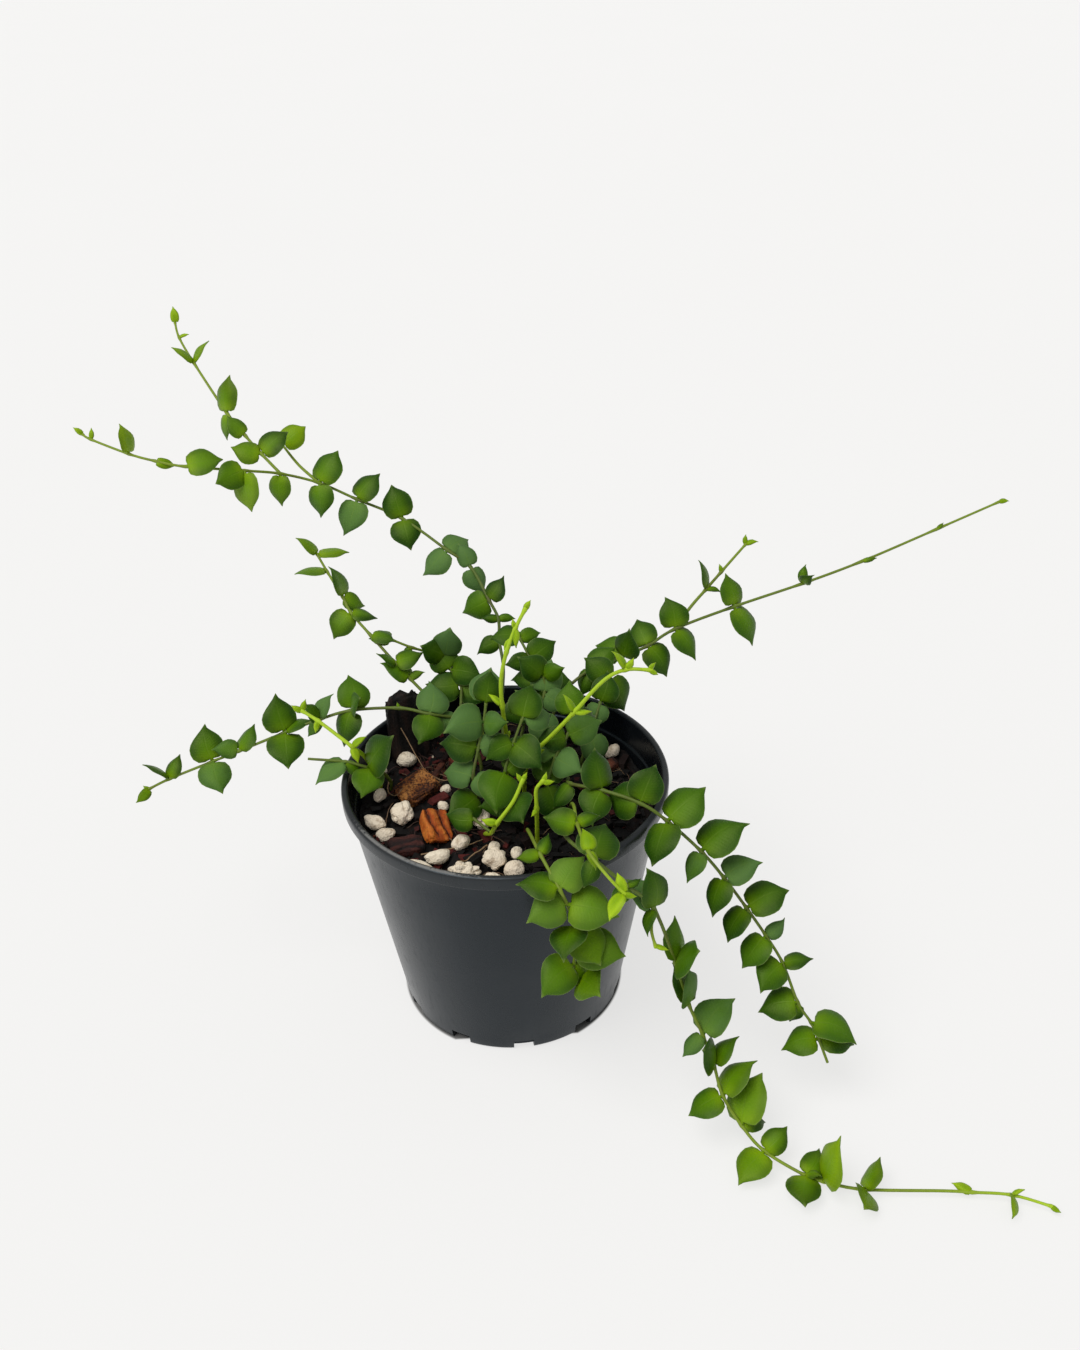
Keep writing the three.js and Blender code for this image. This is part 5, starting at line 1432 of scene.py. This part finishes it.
def soft_sun(strength):
    """A broad even light from the upper left, the same all over the floor."""
    data = bpy.data.lights.new("key_light", "SUN")
    data.energy = strength
    data.angle = math.radians(KEY_SPREAD)
    data.color = (1.0, 0.985, 0.96)
    light = bpy.data.objects.new("key_light", data)
    light.rotation_euler = Vector(KEY_FROM).to_track_quat("Z", "Y").to_euler()
    bpy.context.scene.collection.objects.link(light)


def floor_finish():
    """Plain pale board with the faintest unevenness, which glows a little so that its shadows stay soft,
    apart from the round place under the pot behind its front edge."""
    f = Finish("pale_board")
    x, y = f.parts(f.place)[:2]
    reach = (x * x + y * y) ** 0.5
    outside = reach.ramp(DARK_UNDER_POT, DARK_UNDER_POT + GLOW_EDGE)
    before = (y * -1).ramp(GLOW_IN_FRONT, GLOW_IN_FRONT + GLOW_EDGE)
    cloud = f.speckle(0.35, 2, 0.5)
    fine = f.speckle(0.0015, 2, 0.5)
    colour = f.blend(cloud, (0.200, 0.199, 0.197), (0.207, 0.206, 0.204))
    lit = f.blend(outside.math("MAXIMUM", outside, before), (0.0, 0.0, 0.0), (1.0, 0.995, 0.985))
    return f.finished(
        colour, 0.75 + fine * 0.1, fine, 0.00002, Specular_IOR_Level=0.1, Emission_Color=lit,
        Emission_Strength=FLOOR_GLOW)


# Operators

class HEART_OT_pot(bpy.types.Operator):
    """Makes the nursery pot"""
    bl_idname = "heart_vine.make_pot"
    bl_label = "Make pot"

    def execute(self, context):
        settings = context.scene.heart_pot
        pot = pot_part(settings)
        make_piece("nursery_pot", [pot], [pot_finish(settings)], ["pot"], crease=40)
        return {"FINISHED"}


class HEART_OT_mix(bpy.types.Operator):
    """Makes the potting mix with its crumbs and fibres"""
    bl_idname = "heart_vine.make_mix"
    bl_label = "Make potting mix"

    def execute(self, context):
        mix = context.scene.heart_mix
        pot = context.scene.heart_pot
        make_piece("mix_bed", [mix_part(mix, pot)], [mix_finish(mix)], ["potting_mix"])
        make_piece("mix_crumbs", crumb_parts(mix, pot), [crumb_finish()], crease=30)
        make_piece("mix_fibres", fibre_parts(mix, pot), [fibre_finish()])
        return {"FINISHED"}


class HEART_OT_perlite(bpy.types.Operator):
    """Makes the perlite grains"""
    bl_idname = "heart_vine.make_perlite"
    bl_label = "Make perlite"

    def execute(self, context):
        finish = perlite_finish(context.scene.heart_mix)
        for i, node in enumerate(GRAINS):
            make_piece(f"grain_{i + 1:02d}", [grain_part(node, i + 1)], [finish], [node])
        return {"FINISHED"}


class HEART_OT_bark(bpy.types.Operator):
    """Makes the flakes of bark and husk"""
    bl_idname = "heart_vine.make_bark"
    bl_label = "Make bark"

    def execute(self, context):
        for i, node in enumerate(FLAKES):
            flake = flake_part(node, i + 1)
            make_piece(f"{node}_flake", [flake], [flake_finish(node)], [node], crease=60)
        return {"FINISHED"}


class HEART_OT_vines(bpy.types.Operator):
    """Makes every vine, stems and leaves"""
    bl_idname = "heart_vine.make_vines"
    bl_label = "Make vines"

    def execute(self, context):
        plant = context.scene.heart_plant
        finishes = [stem_finish(plant), leaf_finish(plant)]
        for name in VINES:
            make_piece(f"{name}_grown", vine_parts(name, plant), finishes, [name], crease=100)
        return {"FINISHED"}


class HEART_OT_stage(bpy.types.Operator):
    """Makes the floor, the lights and the camera"""
    bl_idname = "heart_vine.make_stage"
    bl_label = "Make stage"

    def execute(self, context):
        stage = context.scene.heart_stage
        mesh = bpy.data.meshes.new("pale_floor")
        corners = [(x * FLOOR_REACH, y * FLOOR_REACH, 0) for x, y in ((-1, -1), (1, -1), (1, 1), (-1, 1))]
        mesh.from_pydata(corners, [], [(0, 1, 2, 3)])
        mesh.materials.append(floor_finish())
        floor = bpy.data.objects.new("pale_floor", mesh)
        floor.location.z = -FLOOR_DROP
        context.scene.collection.objects.link(floor)
        soft_sun(stage.key)
        world = context.scene.world or bpy.data.worlds.new("pale_room")
        context.scene.world = world
        world.use_nodes = True
        background = world.node_tree.nodes["Background"]
        background.inputs["Color"].default_value = (0.98, 0.99, 1.0, 1.0)
        background.inputs["Strength"].default_value = stage.sky
        context.scene.view_settings.view_transform = "Standard"
        aim_camera()
        return {"FINISHED"}


MAKERS = (HEART_OT_pot, HEART_OT_mix, HEART_OT_perlite, HEART_OT_bark, HEART_OT_vines, HEART_OT_stage)


class HEART_PT_panel(bpy.types.Panel):
    bl_label = "Heart Vine"
    bl_idname = "HEART_PT_panel"
    bl_space_type = "VIEW_3D"
    bl_region_type = "UI"
    bl_category = "Heart Vine"

    def draw(self, context):
        for maker in MAKERS:
            self.layout.operator(maker.bl_idname)
        for group in SETTINGS:
            box = self.layout.box()
            for name in SETTINGS[group].__annotations__:
                box.prop(getattr(context.scene, group), name)


SETTINGS = {
    "heart_pot": PotSettings,
    "heart_mix": MixSettings,
    "heart_plant": PlantSettings,
    "heart_stage": StageSettings,
}


def register():
    for one in (*SETTINGS.values(), *MAKERS, HEART_PT_panel):
        bpy.utils.register_class(one)
    for name, group in SETTINGS.items():
        setattr(bpy.types.Scene, name, PointerProperty(type=group))


def unregister():
    for name in SETTINGS:
        delattr(bpy.types.Scene, name)
    for one in reversed((*SETTINGS.values(), *MAKERS, HEART_PT_panel)):
        bpy.utils.unregister_class(one)


def main():
    register()
    bpy.ops.heart_vine.make_pot()
    bpy.ops.heart_vine.make_mix()
    bpy.ops.heart_vine.make_perlite()
    bpy.ops.heart_vine.make_bark()
    bpy.ops.heart_vine.make_vines()
    bpy.ops.heart_vine.make_stage()


if __name__ == "__main__":
    main()
